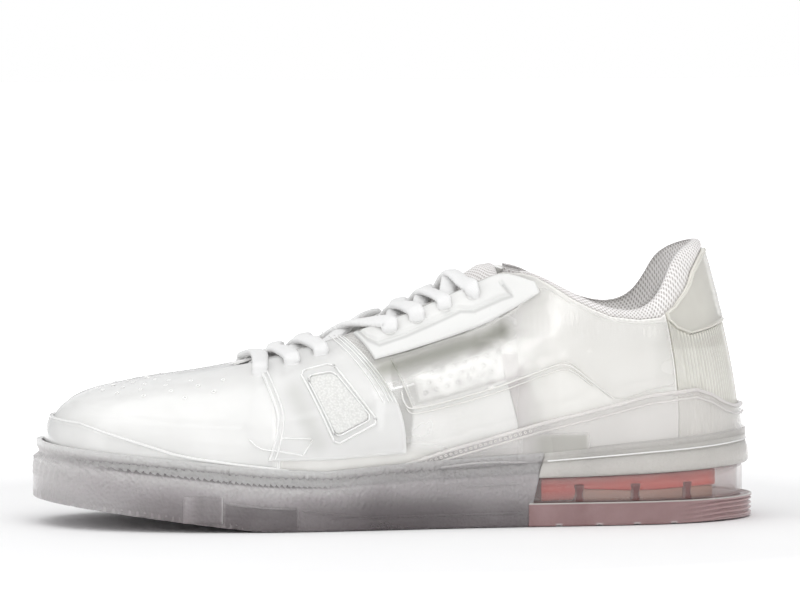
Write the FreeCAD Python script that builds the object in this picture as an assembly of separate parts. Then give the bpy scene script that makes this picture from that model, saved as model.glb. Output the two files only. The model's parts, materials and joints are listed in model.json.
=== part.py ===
import FreeCAD, Part
import math
import os

Vector = FreeCAD.Vector

# A clear low-top sneaker for the left foot, in millimetres.
# +X runs from toe to heel, -Y is the lateral (outer) side, +Z is up and the ground is Z = 0.
# The origin is the middle of the footprint, on the ground.

# --- driving dimensions ------------------------------------------------------------------
TOE_SHIFT = 6.0  # the toe tip leans this far to the medial side
CENTRE_Y = -1.9  # the centre line's y at the heel, so that the box is centred on the origin
SOLE_OUTSET = 5.5  # how far the sole stands out beyond the foot of the upper
TOE_OUTSET = 1.8  # extra outset round the toe
TOE_SPRING = 11.0  # lift of the outsole at the toe tip
SPRING_START = -58.0  # where the outsole leaves the ground
SPRING_EASE = 0.08  # how gently it leaves
TOE_END = -151.0
OUTSOLE_THICKNESS = 5.0
HEEL_START = 50.0  # where the air heel begins
HEEL_OUTSOLE_TOP = 9.2
GAP = 0.2  # clearance between bonded layers
SHELL = 1.1  # thickness of the clear upper shell
OVERLAY = 1.0  # thickness of the overlays on it
LINER = 1.1  # thickness of the panels inside it
CUP = 1.2  # thickness of the heel cup
WALL_INNER = 3.3  # inner face of the sole's walls, outset from the skin
INSERT_HEIGHT = 8.0  # clear block in the edge of the sole
COLLAR_PAD = 4.6  # thickness of the padded collar
SOCKLINER = 4.0
LACE_RADIUS = 1.5
AGLET_RADIUS = 1.3
AGLET_LENGTH = 9.0
EYELET_RADIUS = 2.5
EYELET_DROP = 4.8  # height from the topline down to the lace holes

# The upper is one skin, lofted through stations that run from the toe centre to the heel
# centre. Each station is a cubic curve from the foot of the upper, over two shaping points,
# to the topline. Points are (x, half width, z); a z of None sits on the footbed.
STATIONS = [
    ((-143.5, 0, None), (-144.5, 0, 57), (-122, 0, 55.5), (-66, 0, 64)),
    ((-141.5, 15, None), (-143, 14.5, 56), (-120, 10, 56), (-66, 2.5, 64)),
    ((-134, 28.5, None), (-136, 28.5, 54), (-115, 22, 56.5), (-65.5, 5, 64)),
    ((-118, 39.5, None), (-120, 41, 52), (-103, 32, 58), (-65, 7.2, 64.2)),
    ((-92, 46.5, None), (-93, 49, 49), (-85, 37, 60), (-63.5, 9, 64.5)),
    ((-62, 49, None), (-62, 52, 46), (-60, 38, 62), (-57, 10, 66.5)),
    ((-36, 47.5, None), (-36, 50.5, 46), (-36, 36, 66), (-36, 11, 73)),
    ((-12, 44.5, None), (-12, 48, 47), (-12, 36, 71), (-12, 12.5, 80)),
    ((11, 41.5, None), (11, 45, 49), (11, 36, 77), (11, 15, 89.5)),
    ((32, 39.5, None), (32, 42.5, 51), (32, 36.5, 83), (32, 18.5, 99)),
    ((49, 38.5, None), (49, 41, 52), (49, 37, 84), (49, 23.5, 107.5)),
    ((63, 38, None), (63, 40.5, 51), (63, 38, 79), (63, 30, 100)),
    ((79, 37.5, None), (79, 39.5, 49), (79, 38, 73), (79, 33.5, 91.5)),
    ((96, 36.5, None), (96, 38.5, 47), (96, 37, 69), (95, 33, 87)),
    ((113, 33.5, None), (114, 35.5, 48), (112, 34.5, 72), (107, 30, 92.5)),
    ((128, 27, None), (130, 28.5, 49), (125, 27, 78), (114, 24.5, 109)),
    ((140.5, 16, None), (142, 16.5, 50), (134.5, 15.5, 82), (122.5, 14, 114.5)),
    ((147.8, 0, None), (147, 0, 50), (139.5, 0, 83), (131, 0, 117)),
]
HEEL = len(STATIONS) - 1  # station number at the heel centre
TURN = 2 * HEEL  # stations once round the shoe
# The medial side is wider at the big toe and drawn in at the arch.
MEDIAL_WIDTH = [1, 1, 1.03, 1.06, 1.06, 1.03, 0.98, 0.93, 0.9, 0.9, 0.91, 0.93, 0.95, 0.97, 1, 1, 1, 1]

LATERAL = -1
MEDIAL = 1
SIDES = {"lateral": LATERAL, "medial": MEDIAL}


# --- curves ------------------------------------------------------------------------------
def blend_between(knots, x):
    """Value at x on the straight lines through (x, value) knots, flat beyond the ends."""
    if x <= knots[0][0]:
        return knots[0][1]
    for (x0, v0), (x1, v1) in zip(knots, knots[1:]):
        if x <= x1:
            f = (x - x0) / (x1 - x0)
            return v0 + (v1 - v0) * f
    return knots[-1][1]


def footbed(x):
    """Height of the footbed: low under the ball, raised at toe and heel."""
    if x < -30:
        return 21 + 9 * ((-30 - x) / 113) ** 1.5
    return 21 + 5 * ((x + 30) / 175) ** 1.1


def ground(x):
    """Underside of the outsole, with its toe spring."""
    if x > SPRING_START:
        return 0.0
    run = (SPRING_START - x) / (SPRING_START - TOE_END)
    return TOE_SPRING * run * run * (1 + SPRING_EASE) / (run + SPRING_EASE)


def air_top(x):
    return 19.6 + 3.0 * max(0.0, (x - HEEL_START) / 97) ** 1.5


def centre_y(x):
    """The y of the centre line: it bends towards the big toe ahead of the arch."""
    if x > -40:
        return CENTRE_Y
    return CENTRE_Y + TOE_SHIFT * ((-40 - x) / 110) ** 1.6


# --- the skin of the upper ---------------------------------------------------------------
def control_row(k):
    """The four control points of station k, counted round from the toe centre."""
    k = k % TURN
    side = LATERAL if k <= HEEL else MEDIAL
    index = k if k <= HEEL else TURN - k
    width = MEDIAL_WIDTH[index] if side == MEDIAL else 1.0
    row = []
    for (x, y, z), share in zip(STATIONS[index], (1, 1, 0.5, 0)):
        height = footbed(x) if z is None else z
        scale = 1 + (width - 1) * share
        row.append(Vector(x, side * y * scale + centre_y(x), height))
    return row


ROWS = [control_row(k) for k in range(TURN)]


def skin(p, t):
    """Point on the skin: p counts stations round the shoe, t runs from foot to topline."""
    base = math.floor(p)
    f = p - base
    across = [(1 - f) ** 3 / 6, (3 * f**3 - 6 * f**2 + 4) / 6,
              (-3 * f**3 + 3 * f**2 + 3 * f + 1) / 6, f**3 / 6]
    along = [(1 - t) ** 3, 3 * t * (1 - t) ** 2, 3 * t * t * (1 - t), t**3]
    point = Vector(0, 0, 0)
    for i, wa in enumerate(across):
        row = ROWS[(base - 1 + i) % TURN]
        for control, wt in zip(row, along):
            point += control * (wa * wt)
    return point


def skin_normal(p, t):
    step = 0.01
    t = min(max(t, step), 1 - step)
    dp = skin(p + step, t) - skin(p - step, t)
    dt = skin(p, t + step) - skin(p, t - step)
    return dp.cross(dt).normalize()


def on_skin(p, t, offset):
    return skin(p, t) + skin_normal(p, t) * offset


def level(p, z):
    """The t at which the skin of station p reaches height z."""
    low, high = 0.0, 1.0
    for _ in range(24):
        mid = (low + high) / 2
        if skin(p, mid).z < z:
            low = mid
        else:
            high = mid
    return (low + high) / 2


def locate(x, z, side):
    """The (p, t) of the point that is seen at (x, z) from the side."""
    low, high = 3.0, HEEL - 0.5
    for _ in range(20):
        mid = (low + high) / 2
        p = mid if side == LATERAL else TURN - mid
        if skin(p, level(p, z)).x < x:
            low = mid
        else:
            high = mid
    p = low if side == LATERAL else TURN - low
    return p, level(p, z)


def plan(p, outset, z):
    """Point at height z, outset from the foot of the skin."""
    step = 0.01
    here = skin(p, 0)
    run = skin(p + step, 0) - skin(p - step, 0)
    out = Vector(run.y, -run.x, 0).normalize()
    return Vector(here.x + out.x * outset, here.y + out.y * outset, z)


def sole_outset(p):
    """Outset of the sole's widest line at station p."""
    from_toe = min(p % TURN, TURN - p % TURN)
    return SOLE_OUTSET + TOE_OUTSET * math.exp(-((from_toe / 2.2) ** 2))


# --- solids ------------------------------------------------------------------------------
def surface_through(grid):
    surface = Part.BSplineSurface()
    surface.interpolate(grid)
    return surface


def block(place, columns, rows):
    """Closed solid of place(u, v, w): u and v run over the piece, w through its thickness."""
    sheets = []
    for w in (0.0, 1.0):
        grid = [[place(i / (columns - 1), j / (rows - 1), w) for j in range(rows)]
                for i in range(columns)]
        sheets.append(surface_through(grid))
    faces = [sheet.toShape() for sheet in sheets]
    for end in (0, 1):
        edges_u = [s.uIso(s.bounds()[end]).toShape() for s in sheets]
        edges_v = [s.vIso(s.bounds()[2 + end]).toShape() for s in sheets]
        faces.append(Part.makeRuledSurface(edges_u[0], edges_u[1]))
        faces.append(Part.makeRuledSurface(edges_v[0], edges_v[1]))
    shell = Part.Shell(faces)
    shell.sewShape()
    solid = Part.Solid(shell)
    if solid.Volume < 0:
        solid.reverse()
    return solid


def band(p_start, p_end, low, high, inner, outer, columns=25, rows=7):
    """Piece of the skin between heights t = low(p) and t = high(p)."""
    def place(u, v, w):
        p = p_start + (p_end - p_start) * u
        t = low(p) + (high(p) - low(p)) * v
        return on_skin(p, t, inner + (outer - inner) * w)
    return block(place, columns, rows)


def panel(side, low, high, inner, outer, columns=17, rows=7):
    """Four-sided piece between two edges, each a list of side-view (x, z) points."""
    def traced(edge):
        wire = Part.BSplineCurve()
        wire.interpolate([Vector(x, 0, z) for x, z in edge])
        first, last = wire.FirstParameter, wire.LastParameter
        spots = [wire.value(first + (last - first) * i / (columns - 1)) for i in range(columns)]
        return [locate(spot.x, spot.z, side) for spot in spots]

    bottom = traced(low)
    top = traced(high)

    def place(u, v, w):
        i = round(u * (columns - 1))
        p = bottom[i][0] + (top[i][0] - bottom[i][0]) * v
        t = bottom[i][1] + (top[i][1] - bottom[i][1]) * v
        return on_skin(p, t, inner + (outer - inner) * w)
    return block(place, columns, rows)


def plan_prism(outset, low, high):
    """Upright prism on the footprint, outset from the foot of the upper."""
    def amount(p):
        return outset(p) if callable(outset) else outset
    outline = Part.BSplineCurve()
    outline.interpolate([plan(p, amount(p), low) for p in range(TURN)], PeriodicFlag=True)
    face = Part.Face(Part.Wire(outline.toShape()))
    return face.extrude(Vector(0, 0, high - low))


def side_prism(x_start, x_end, low, high, steps=30):
    """Prism across the shoe between two height functions of x."""
    xs = [x_start + (x_end - x_start) * i / steps for i in range(steps + 1)]
    bottom = Part.BSplineCurve()
    bottom.interpolate([Vector(x, -80, low(x)) for x in xs])
    top = Part.BSplineCurve()
    top.interpolate([Vector(x, -80, high(x)) for x in xs])
    front = Part.makeLine(bottom.value(bottom.FirstParameter), top.value(top.FirstParameter))
    back = Part.makeLine(bottom.value(bottom.LastParameter), top.value(top.LastParameter))
    wire = Part.Wire([bottom.toShape(), back, top.toShape(), front])
    return Part.Face(wire).extrude(Vector(0, 160, 0))


def slab(outset, x_start, x_end, low, high):
    """Layer of the sole inside the footprint, between two height functions of x."""
    return plan_prism(outset, -5, 60).common(side_prism(x_start, x_end, low, high))


def rod(centre, direction, radius, before, after):
    start = centre - direction * before
    return Part.makeCylinder(radius, before + after, start, direction)


def rounded_path(points):
    """Wire of straight runs joined by tangent arcs, each as large as its runs allow."""
    edges = []
    cursor = points[0]
    for before, corner, after in zip(points, points[1:], points[2:]):
        back = before - corner
        ahead = after - corner
        setback = 0.45 * min(back.Length, ahead.Length)
        back.normalize()
        ahead.normalize()
        start = corner + back * setback
        end = corner + ahead * setback
        half = back.getAngle(ahead) / 2
        radius = setback * math.tan(half)
        middle_way = (back + ahead).normalize()
        middle = corner + middle_way * (setback / math.cos(half) - radius)
        edges.append(Part.makeLine(cursor, start))
        edges.append(Part.Arc(start, middle, end).toShape())
        cursor = end
    edges.append(Part.makeLine(cursor, points[-1]))
    return Part.Wire(edges)


# --- lines that several pieces share -------------------------------------------------------
# Heights round the sole, as (x, z) knots from toe to heel on either side.
LEDGE = [(-144, 33), (-132, 30.5), (-114, 28.6), (-97, 27), (-81, 25.3), (-56, 23.2), (-35, 22.6),
         (0, 26.4), (54, 30), (100, 34), (140, 36.8)]
SHELL_TOP = [(-200, 110), (36, 103), (43, 103.5), (50, 102.5), (55, 100.5), (61.5, 96.6), (70, 91.6),
             (78, 88.3), (86, 85.4), (98, 84.2), (107, 85), (112.5, 89.4), (116.5, 95.3),
             (121, 103.2), (126, 108.8), (131, 113.5)]
RAND_TOP = [(-141, 43.5), (-132, 43), (-121, 39.5), (-105, 34.8), (-97, 32.3), (-89, 30.6),
            (-72, 28.5), (-35, 26.4)]
CUP_TOP = [(-25, 23.8), (-5, 26.3), (17, 32.7), (38, 38.1), (55, 42.7), (81, 48.7), (102, 53.8),
           (121, 55.6), (128, 53), (134, 49.3), (139, 47.2)]
TAB_BASE = [(108, 86), (114, 80), (120, 77.6), (128, 79), (137.5, 81.4)]
PAD_BASE = 72.0


def line_level(knots, lift=0.0):
    """Function of p: the t of a line given as (x, z) knots, raised by lift."""
    def t_of(p):
        z = blend_between(knots, skin(p, 0.3).x)
        for _ in range(3):
            z = blend_between(knots, skin(p, level(p, z + lift)).x)
        return level(p, z + lift)
    return t_of


SHELL_EDGE_LINE = line_level(SHELL_TOP)


def foot_of_skin(p):
    return 0.0


def shell_edge(p):
    """The t at which the clear shell ends, below the padded topline."""
    return min(SHELL_EDGE_LINE(p), 0.995)


def station_at(x, t=0.0):
    """Lateral station number whose skin lies at x."""
    low, high = 0.0, float(HEEL)
    for _ in range(30):
        mid = (low + high) / 2
        if skin(mid, t).x < x:
            low = mid
        else:
            high = mid
    return (low + high) / 2


# --- sole ----------------------------------------------------------------------------------
def make_outsole():
    """Tread layer from the toe to the air heel, with cross grooves underneath."""
    def top(x):
        return ground(x) + OUTSOLE_THICKNESS
    body = slab(lambda p: sole_outset(p) - 0.6, -160, HEEL_START - 1.5, ground, top)
    groove_width = 2.0
    groove_depth = 1.4
    for i in range(20):
        x = -138 + 9.2 * i
        groove = Part.makeBox(groove_width, 160, 20, Vector(x, -80, ground(x) + groove_depth - 20))
        body = body.cut(groove)
    return body


def make_heel_outsole():
    """Tinted slab under the air unit, stepped round the back of the heel."""
    body = slab(sole_outset, HEEL_START, 160, lambda x: -2.0, lambda x: HEEL_OUTSOLE_TOP)
    body = body.cut(Part.makeBox(200, 160, 10, Vector(0, -80, -10)))
    for height, depth in ((6.6, 0.9), (4.4, 0.9), (2.2, 0.9)):
        ring = slab(lambda p: sole_outset(p) + 3, 112, 160, lambda x: height - 0.4, lambda x: height + 0.4)
        core = plan_prism(lambda p, d=depth: sole_outset(p) - d, -5, 20)
        body = body.cut(ring.cut(core))
    for x in (63, 80, 96, 112):
        body = body.cut(Part.makeBox(2.0, 160, 1.4, Vector(x, -80, 0)))
    return body


def make_sidewall():
    """Clear wall of the cupsole, once round the toe from arch to arch."""
    ledge = line_level(LEDGE)
    end_low = station_at(HEEL_START - 2)
    end_high = station_at(HEEL_START + 6)

    def place(u, v, w):
        end = end_low + (end_high - end_low) * v
        p = -end + 2 * end * u
        outset = sole_outset(p)
        rim = skin(p, ledge(p))
        rim_normal = skin_normal(p, ledge(p))
        low = plan(p, outset if w else WALL_INNER, 0)
        low.z = ground(low.x) + OUTSOLE_THICKNESS + GAP
        high = rim + rim_normal * (outset - 1.0 if w else WALL_INNER)
        belly = plan(p, 0.9 * w * math.sin(math.pi * v), 0) - plan(p, 0, 0)
        return low + (high - low) * v + belly
    return block(place, 69, 5)


def make_sole_insert(side):
    """Small clear block let into the edge of the sole beside the ball of the foot."""
    start, end = station_at(-92), station_at(-78)

    def place(u, v, w):
        p = start + (end - start) * u
        if side == MEDIAL:
            p = -p
        z = ground(-85) + INSERT_HEIGHT * v
        return plan(p, sole_outset(p) + 0.6 + 0.9 * w, z)
    return block(place, 6, 4)


def make_midsole_core():
    """Soft core of the cupsole, moulded with a grid of pockets."""
    def low(x):
        return ground(x) + OUTSOLE_THICKNESS + GAP

    def high(x):
        return footbed(x) - 2.1
    body = slab(WALL_INNER - GAP, -160, HEEL_START - 2, low, high)
    pocket = (12.0, 9.0, 9.0)
    for i in range(9):
        x = -92 + 15.5 * i
        for y in (-36, -24, -12, 0, 12, 24):
            corner = Vector(x, y + centre_y(x), low(x) - 1)
            body = body.cut(Part.makeBox(pocket[0], pocket[1], pocket[2], corner))
    return body


def make_air_unit():
    """Clear wall of the air unit round its open chamber."""
    def low(x):
        return HEEL_OUTSOLE_TOP + GAP
    outer = slab(lambda p: sole_outset(p) - 4.0, HEEL_START + 1.5, 160, low, air_top)
    inner = slab(lambda p: sole_outset(p) - 6.0, HEEL_START + 4.5, 160, lambda x: 5, lambda x: 30)
    return outer.cut(inner)


def make_cushion_core():
    """Coloured foam block inside the air unit."""
    def low(x):
        return HEEL_OUTSOLE_TOP + GAP

    def high(x):
        return air_top(x) - 0.4
    return slab(-5.5, HEEL_START + 12, 160, low, high)


def make_cushion_posts():
    """Posts between the foam and the clear wall."""
    posts = []
    for p in (11.0, 12.2, 13.4, 14.6, 15.8):
        for station in (p, TURN - p):
            foot = plan(station, -2.9, HEEL_OUTSOLE_TOP + GAP)
            posts.append(Part.makeCylinder(1.8, air_top(foot.x) - foot.z - 0.5, foot))
    return Part.Compound(posts)


def make_heel_flange():
    """Stabiliser that rings the heel above the air unit, with a lip at its upper edge."""
    start = station_at(HEEL_START + 8)
    ledge = line_level(LEDGE)

    def place(u, v, w):
        p = start + (TURN - 2 * start) * u
        outset = sole_outset(p)
        rim = skin(p, ledge(p))
        rim_normal = skin_normal(p, ledge(p))
        low = plan(p, outset - 1.4 if w else WALL_INNER, 0)
        low.z = air_top(low.x) + GAP
        high = rim + rim_normal * (outset - 1.2 if w else WALL_INNER)
        lip = plan(p, 1.2 * w * math.sin(math.pi * v), 0) - plan(p, 0, 0)
        return low + (high - low) * v + lip
    return block(place, 57, 5)


def make_heel_platform():
    """Plate that carries the footbed over the air unit."""
    def low(x):
        return air_top(x) + GAP

    def high(x):
        return footbed(x) - 2.1
    return slab(WALL_INNER - GAP, HEEL_START + 0.5, 160, low, high)


def make_heel_cup():
    """Clear counter cup that rises from the arch and wraps the heel."""
    start = station_at(-22)
    return band(start, TURN - start, foot_of_skin, line_level(CUP_TOP),
                SHELL + 3 * GAP, SHELL + 3 * GAP + CUP, columns=53, rows=6)


def make_cup_bead():
    """Raised strip along the upper edge of the heel cup."""
    start = station_at(5)
    base = SHELL + 4 * GAP + CUP
    under_cup_top = line_level(CUP_TOP, -4.2)
    over_ledge = line_level(LEDGE, 0.6)

    def low(p):
        return max(under_cup_top(p), over_ledge(p))
    return band(start, TURN - start, low, line_level(CUP_TOP, -0.6), base, base + 0.5, columns=53, rows=4)


def make_insole_board():
    return slab(-1.0, -160, 160, lambda x: footbed(x) - 1.9, lambda x: footbed(x) - 0.3)


def make_sockliner():
    return slab(-3.2, -160, 160, lambda x: footbed(x), lambda x: footbed(x) + SOCKLINER)


# --- upper shell -----------------------------------------------------------------------------
TOE_SEAM = 5.0  # station of the seam between toe box and quarters
HEEL_SEAM = 14.1  # station of the seam between quarters and heel counter


def make_toe_box():
    """Clear toe box from one quarter seam to the other, perforated over the toes."""
    body = band(-TOE_SEAM, TOE_SEAM, foot_of_skin, lambda p: 0.995, 0, SHELL, columns=35, rows=13)
    for p in (-2.6, -1.3, 0.0, 1.3, 2.6):
        for t in (0.52, 0.6, 0.68, 0.76):
            body = body.cut(rod(skin(p, t), skin_normal(p, t), 0.8, 1, 3))
    return pierced(pierced(body, LATERAL), MEDIAL)


def eyelet_spots(side):
    """The seven lace holes of one side: point on the skin and its normal."""
    spots = []
    for x in EYELET_X:
        p = station_at(x, 0.9)
        if side == MEDIAL:
            p = TURN - p
        t = level(p, skin(p, 1).z - EYELET_DROP)
        spots.append((skin(p, t), skin_normal(p, t)))
    return spots


EYELET_X = (-57, -45, -33, -4, 7.5, 19, 30.5)


def pierced(body, side):
    for spot, out in eyelet_spots(side):
        body = body.cut(rod(spot, out, EYELET_RADIUS, 1.5, 4))
    return body


def make_quarter(side):
    """Clear side wall of the upper."""
    start = TOE_SEAM + 0.02
    end = HEEL_SEAM - 0.02
    if side == MEDIAL:
        start, end = TURN - end, TURN - start
    body = band(start, end, foot_of_skin, shell_edge, 0, SHELL, columns=31, rows=13)
    return pierced(body, side)


def make_heel_counter():
    """Ribbed back of the upper below the heel tab."""
    start = HEEL_SEAM + 0.02
    return band(start, TURN - start, foot_of_skin, line_level(TAB_BASE, -0.1), 0, SHELL, columns=19, rows=9)


def make_heel_tab():
    start = HEEL_SEAM + 0.02
    return band(start, TURN - start, line_level(TAB_BASE, 0.1), shell_edge, 0, SHELL + 0.6,
                columns=19, rows=6)


# --- overlays and inner panels -------------------------------------------------------------------
OVER = SHELL + GAP  # where the overlays start
UNDER = -GAP  # where the inner panels start


def make_toe_rand():
    """Rand that wraps the toe just above the sole."""
    end = station_at(-37)
    return band(-end, end, foot_of_skin, line_level(RAND_TOP), OVER, OVER + OVERLAY, columns=37, rows=5)


def make_strap(side):
    """Forefoot strap from the sole up to the front lace holes."""
    front = [(-58.7, 29), (-56.3, 36), (-54.8, 43), (-55, 49), (-57.3, 57), (-59.5, 65.4)]
    back = [(-1, 31), (-1.5, 41), (-4, 51), (-9, 60), (-16, 69.5), (-22.5, 76)]
    body = panel(side, front, back, OVER, OVER + OVERLAY, columns=23, rows=17)
    return pierced(body, side)


BADGE = [(-31, 34.5), (-12.5, 43.5), (-29.5, 66), (-43.5, 62.5)]


def badge_corners(inset):
    """Side-view corners of the strap badge, drawn in towards its middle."""
    cx = sum(x for x, _ in BADGE) / 4
    cz = sum(z for _, z in BADGE) / 4
    corners = []
    for x, z in BADGE:
        reach = math.hypot(x - cx, z - cz)
        corners.append((x + (cx - x) * inset / reach, z + (cz - z) * inset / reach))
    return corners


def badge_block(side, inset, inner, outer):
    front_low, back_low, back_high, front_high = badge_corners(inset)
    return panel(side, [front_low, back_low], [front_high, back_high], inner, outer, columns=7, rows=9)


def make_badge_frame(side):
    base = OVER + OVERLAY + GAP
    outer = badge_block(side, 0, base, base + 0.9)
    hole = badge_block(side, 3.0, base - 1, base + 2)
    return outer.cut(hole)


def make_badge_plate(side):
    base = OVER + OVERLAY + GAP
    return badge_block(side, 3.3, base, base + 0.5)


def make_eyestay(side):
    """Reinforcement of the rear lace holes, from the strap to the collar corner."""
    low = [(-12, 68), (6, 73), (31, 81.5), (45, 89)]
    high = [(-18.5, 77.3), (6, 86.2), (30, 97.2), (43, 102.5)]
    body = panel(side, low, high, OVER, OVER + OVERLAY, rows=7)
    return pierced(body, side)


def make_quarter_overlay(side):
    """Moulded skin of the quarter above its clear window."""
    low = [(2, 48.8), (17.3, 51.7), (38.6, 57.5), (55.7, 63.5), (67.6, 66.7), (77, 59.1), (87, 54.2),
           (106, 58.2)]
    high = [(-6, 68.7), (12, 74.2), (31, 80.6), (46, 88.5), (57, 96.5), (68, 91.5), (84, 84.6), (105, 83)]
    return panel(side, low, high, OVER, OVER + 0.8, columns=29, rows=7)


def make_perforated_panel(side):
    """Perforated panel that shows through the front of the quarter."""
    low = [(5, 52), (20, 55.5), (41, 61.5)]
    high = [(3, 62), (20, 68), (40, 75)]
    body = panel(side, low, high, UNDER - LINER, UNDER, columns=9, rows=5)
    for row in range(3):
        for i in range(7):
            x = 8 + 4.6 * i + 1.6 * row
            z = 55 + 0.3 * (x - 6) + 3.6 * row
            p, t = locate(x, z, side)
            body = body.cut(rod(skin(p, t), skin_normal(p, t), 0.8, 3, 1))
    return body


def make_midfoot_panel(side):
    """Opaque reinforcement behind the clear window, ahead of the inner strap."""
    low = [(1, 30), (20, 31), (49, 32)]
    high = [(2.5, 50.5), (20, 54.5), (42, 60.5)]
    return panel(side, low, high, UNDER - LINER, UNDER, columns=9, rows=7)


def make_inner_strap(side):
    """Webbing that ties the top lace holes to the sole inside the shell."""
    low = [(50, 31), (64, 32)]
    high = [(38.5, 71), (46, 71.5)]
    return panel(side, low, high, UNDER - 2 * LINER - GAP, UNDER - LINER - GAP, columns=4, rows=9)


def make_collar_lining():
    """Padded mesh collar: behind the shell up to its edge, then rolled out over it."""
    start = station_at(52)
    behind = 6  # rows behind the shell
    roll = [(0.2, 0.2), (0.45, 0.7), (0.75, 0.3), (1.0, -1.5)]  # share of the roll, outer offset
    rows = behind + len(roll)

    def place(u, v, w):
        p = start + (TURN - 2 * start) * u
        edge = shell_edge(p)
        base = level(p, PAD_BASE)
        j = round(v * (rows - 1))
        if j < behind:
            t = base + (edge - base) * j / (behind - 0.6)
            outer = UNDER - GAP
            depth = COLLAR_PAD * (0.35 + 0.65 * math.sin(math.pi / 2 * min(1.0, j / 3)))
        else:
            share, outer = roll[j - behind]
            t = edge + (1 - edge) * share
            depth = COLLAR_PAD - 2.2 * share**3
        return on_skin(p, t, outer - depth * (1 - w))
    return block(place, 37, rows)


# --- tongue and lace ---------------------------------------------------------------------------
TONGUE_CREST = [(-64.5, 61.6), (-58, 63.5), (-50, 66.9), (-36, 71.9), (-12, 79.3), (0, 84), (11, 89.5),
                (22, 96.8), (29, 101.8), (35, 105.6), (42, 106.6)]
LACE_LOW_LIFT = 4.0  # the lower lace's middle above the tongue where two laces cross
LACE_HIGH_LIFT = 7.3
LACE_OVER = 4.9  # height of a lace over the throat's edge
TONGUE_WIDTH = [(-64.5, 8), (-55, 11), (-36, 15.5), (0, 20), (24, 23), (30, 21.5), (37, 20), (42, 14)]
TONGUE_TUCK = [(-64.5, 5), (-30, 6.2), (10, 8), (25, 9.6), (42, 10)]  # its drop below the throat's edge
TONGUE_START, TONGUE_END = -64.5, 42.0
TONGUE_FOAM = 3.2
TONGUE_LINING = 0.8


def throat_edge(x):
    """Half width and height of the topline beside the throat at x."""
    p = station_at(x, 1.0)
    edge = skin(p, 1)
    return abs(edge.y - centre_y(edge.x)), edge.z


def tongue_drop(x):
    """How sharply the tongue falls away from its crest, per square millimetre."""
    half, height = throat_edge(x)
    return (blend_between(TONGUE_CREST, x) - height + blend_between(TONGUE_TUCK, x)) / half**2


def tongue_layer(upper, lower):
    """Layer of the tongue between two depths under its outer face."""
    def place(u, v, w):
        x = TONGUE_START + (TONGUE_END - TONGUE_START) * u
        y = (2 * v - 1) * blend_between(TONGUE_WIDTH, x)
        top = blend_between(TONGUE_CREST, x) - tongue_drop(x) * y * y
        thin = 1 - 0.6 * abs(2 * v - 1) ** 3
        depth = lower + (upper - lower) * w
        return Vector(x, y + centre_y(x), top - depth * thin)
    return block(place, 23, 9)


def make_tongue():
    """Padded tongue under the laces, crowned across and thin at its sides."""
    return tongue_layer(0.0, TONGUE_FOAM)


def make_tongue_lining():
    return tongue_layer(TONGUE_FOAM + GAP, TONGUE_FOAM + GAP + TONGUE_LINING)


def lace_half(side):
    """Route from the first lace hole of one side up to the tucked end of the other."""
    spots = {LATERAL: eyelet_spots(LATERAL), MEDIAL: eyelet_spots(MEDIAL)}
    half, height = throat_edge(EYELET_X[0])
    points = [Vector(EYELET_X[0], side * (half - 2) + centre_y(EYELET_X[0]), height + LACE_OVER)]
    here = side
    last = len(EYELET_X) - 1
    for i in range(last + 1):
        spot, out = spots[here][i]
        points.append(spot + out * 5.8)
        points.append(spot - out * 2.4)
        if i == last:
            break
        x = EYELET_X[i] + 0.22 * (EYELET_X[i + 1] - EYELET_X[i])
        half, height = throat_edge(x)
        points.append(Vector(x, here * (half - 1.5) + centre_y(x), height - 1.9))
        middle_x = (EYELET_X[i] + EYELET_X[i + 1]) / 2
        lift = LACE_HIGH_LIFT if here == MEDIAL else LACE_LOW_LIFT
        crest = blend_between(TONGUE_CREST, middle_x)
        points.append(Vector(middle_x, centre_y(middle_x), crest + lift))
        here = -here
        x = EYELET_X[i] + 0.8 * (EYELET_X[i + 1] - EYELET_X[i])
        half, height = throat_edge(x)
        points.append(Vector(x, here * (half - 2) + centre_y(x), height + LACE_OVER))
    spot, out = spots[here][last]
    p, t = locate(spot.x + 9, spot.z - 5, here)
    points.append(on_skin(p, t, -3.5))
    return points


def make_lace():
    """One lace: over the front bar, crossed up the throat, with both ends tucked in."""
    route = list(reversed(lace_half(LATERAL))) + lace_half(MEDIAL)
    wire = rounded_path(route)
    start = wire.Edges[0].valueAt(wire.Edges[0].FirstParameter)
    direction = wire.Edges[0].tangentAt(wire.Edges[0].FirstParameter)
    profile = Part.Wire(Part.Circle(start, direction, LACE_RADIUS).toShape())
    lace = wire.makePipeShell([profile], True, False)
    print("lace length", round(wire.Length, 1), "volume share",
          round(lace.Volume / (wire.Length * math.pi * LACE_RADIUS**2), 3))
    return lace


def make_aglets():
    """Plastic tips that continue both tucked ends of the lace."""
    tips = []
    for side in (LATERAL, MEDIAL):
        before, end = lace_half(side)[-2:]
        direction = (end - before).normalize()
        tips.append(rod(end + direction * GAP, direction, AGLET_RADIUS, 0, AGLET_LENGTH))
    return Part.Compound(tips)


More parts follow.
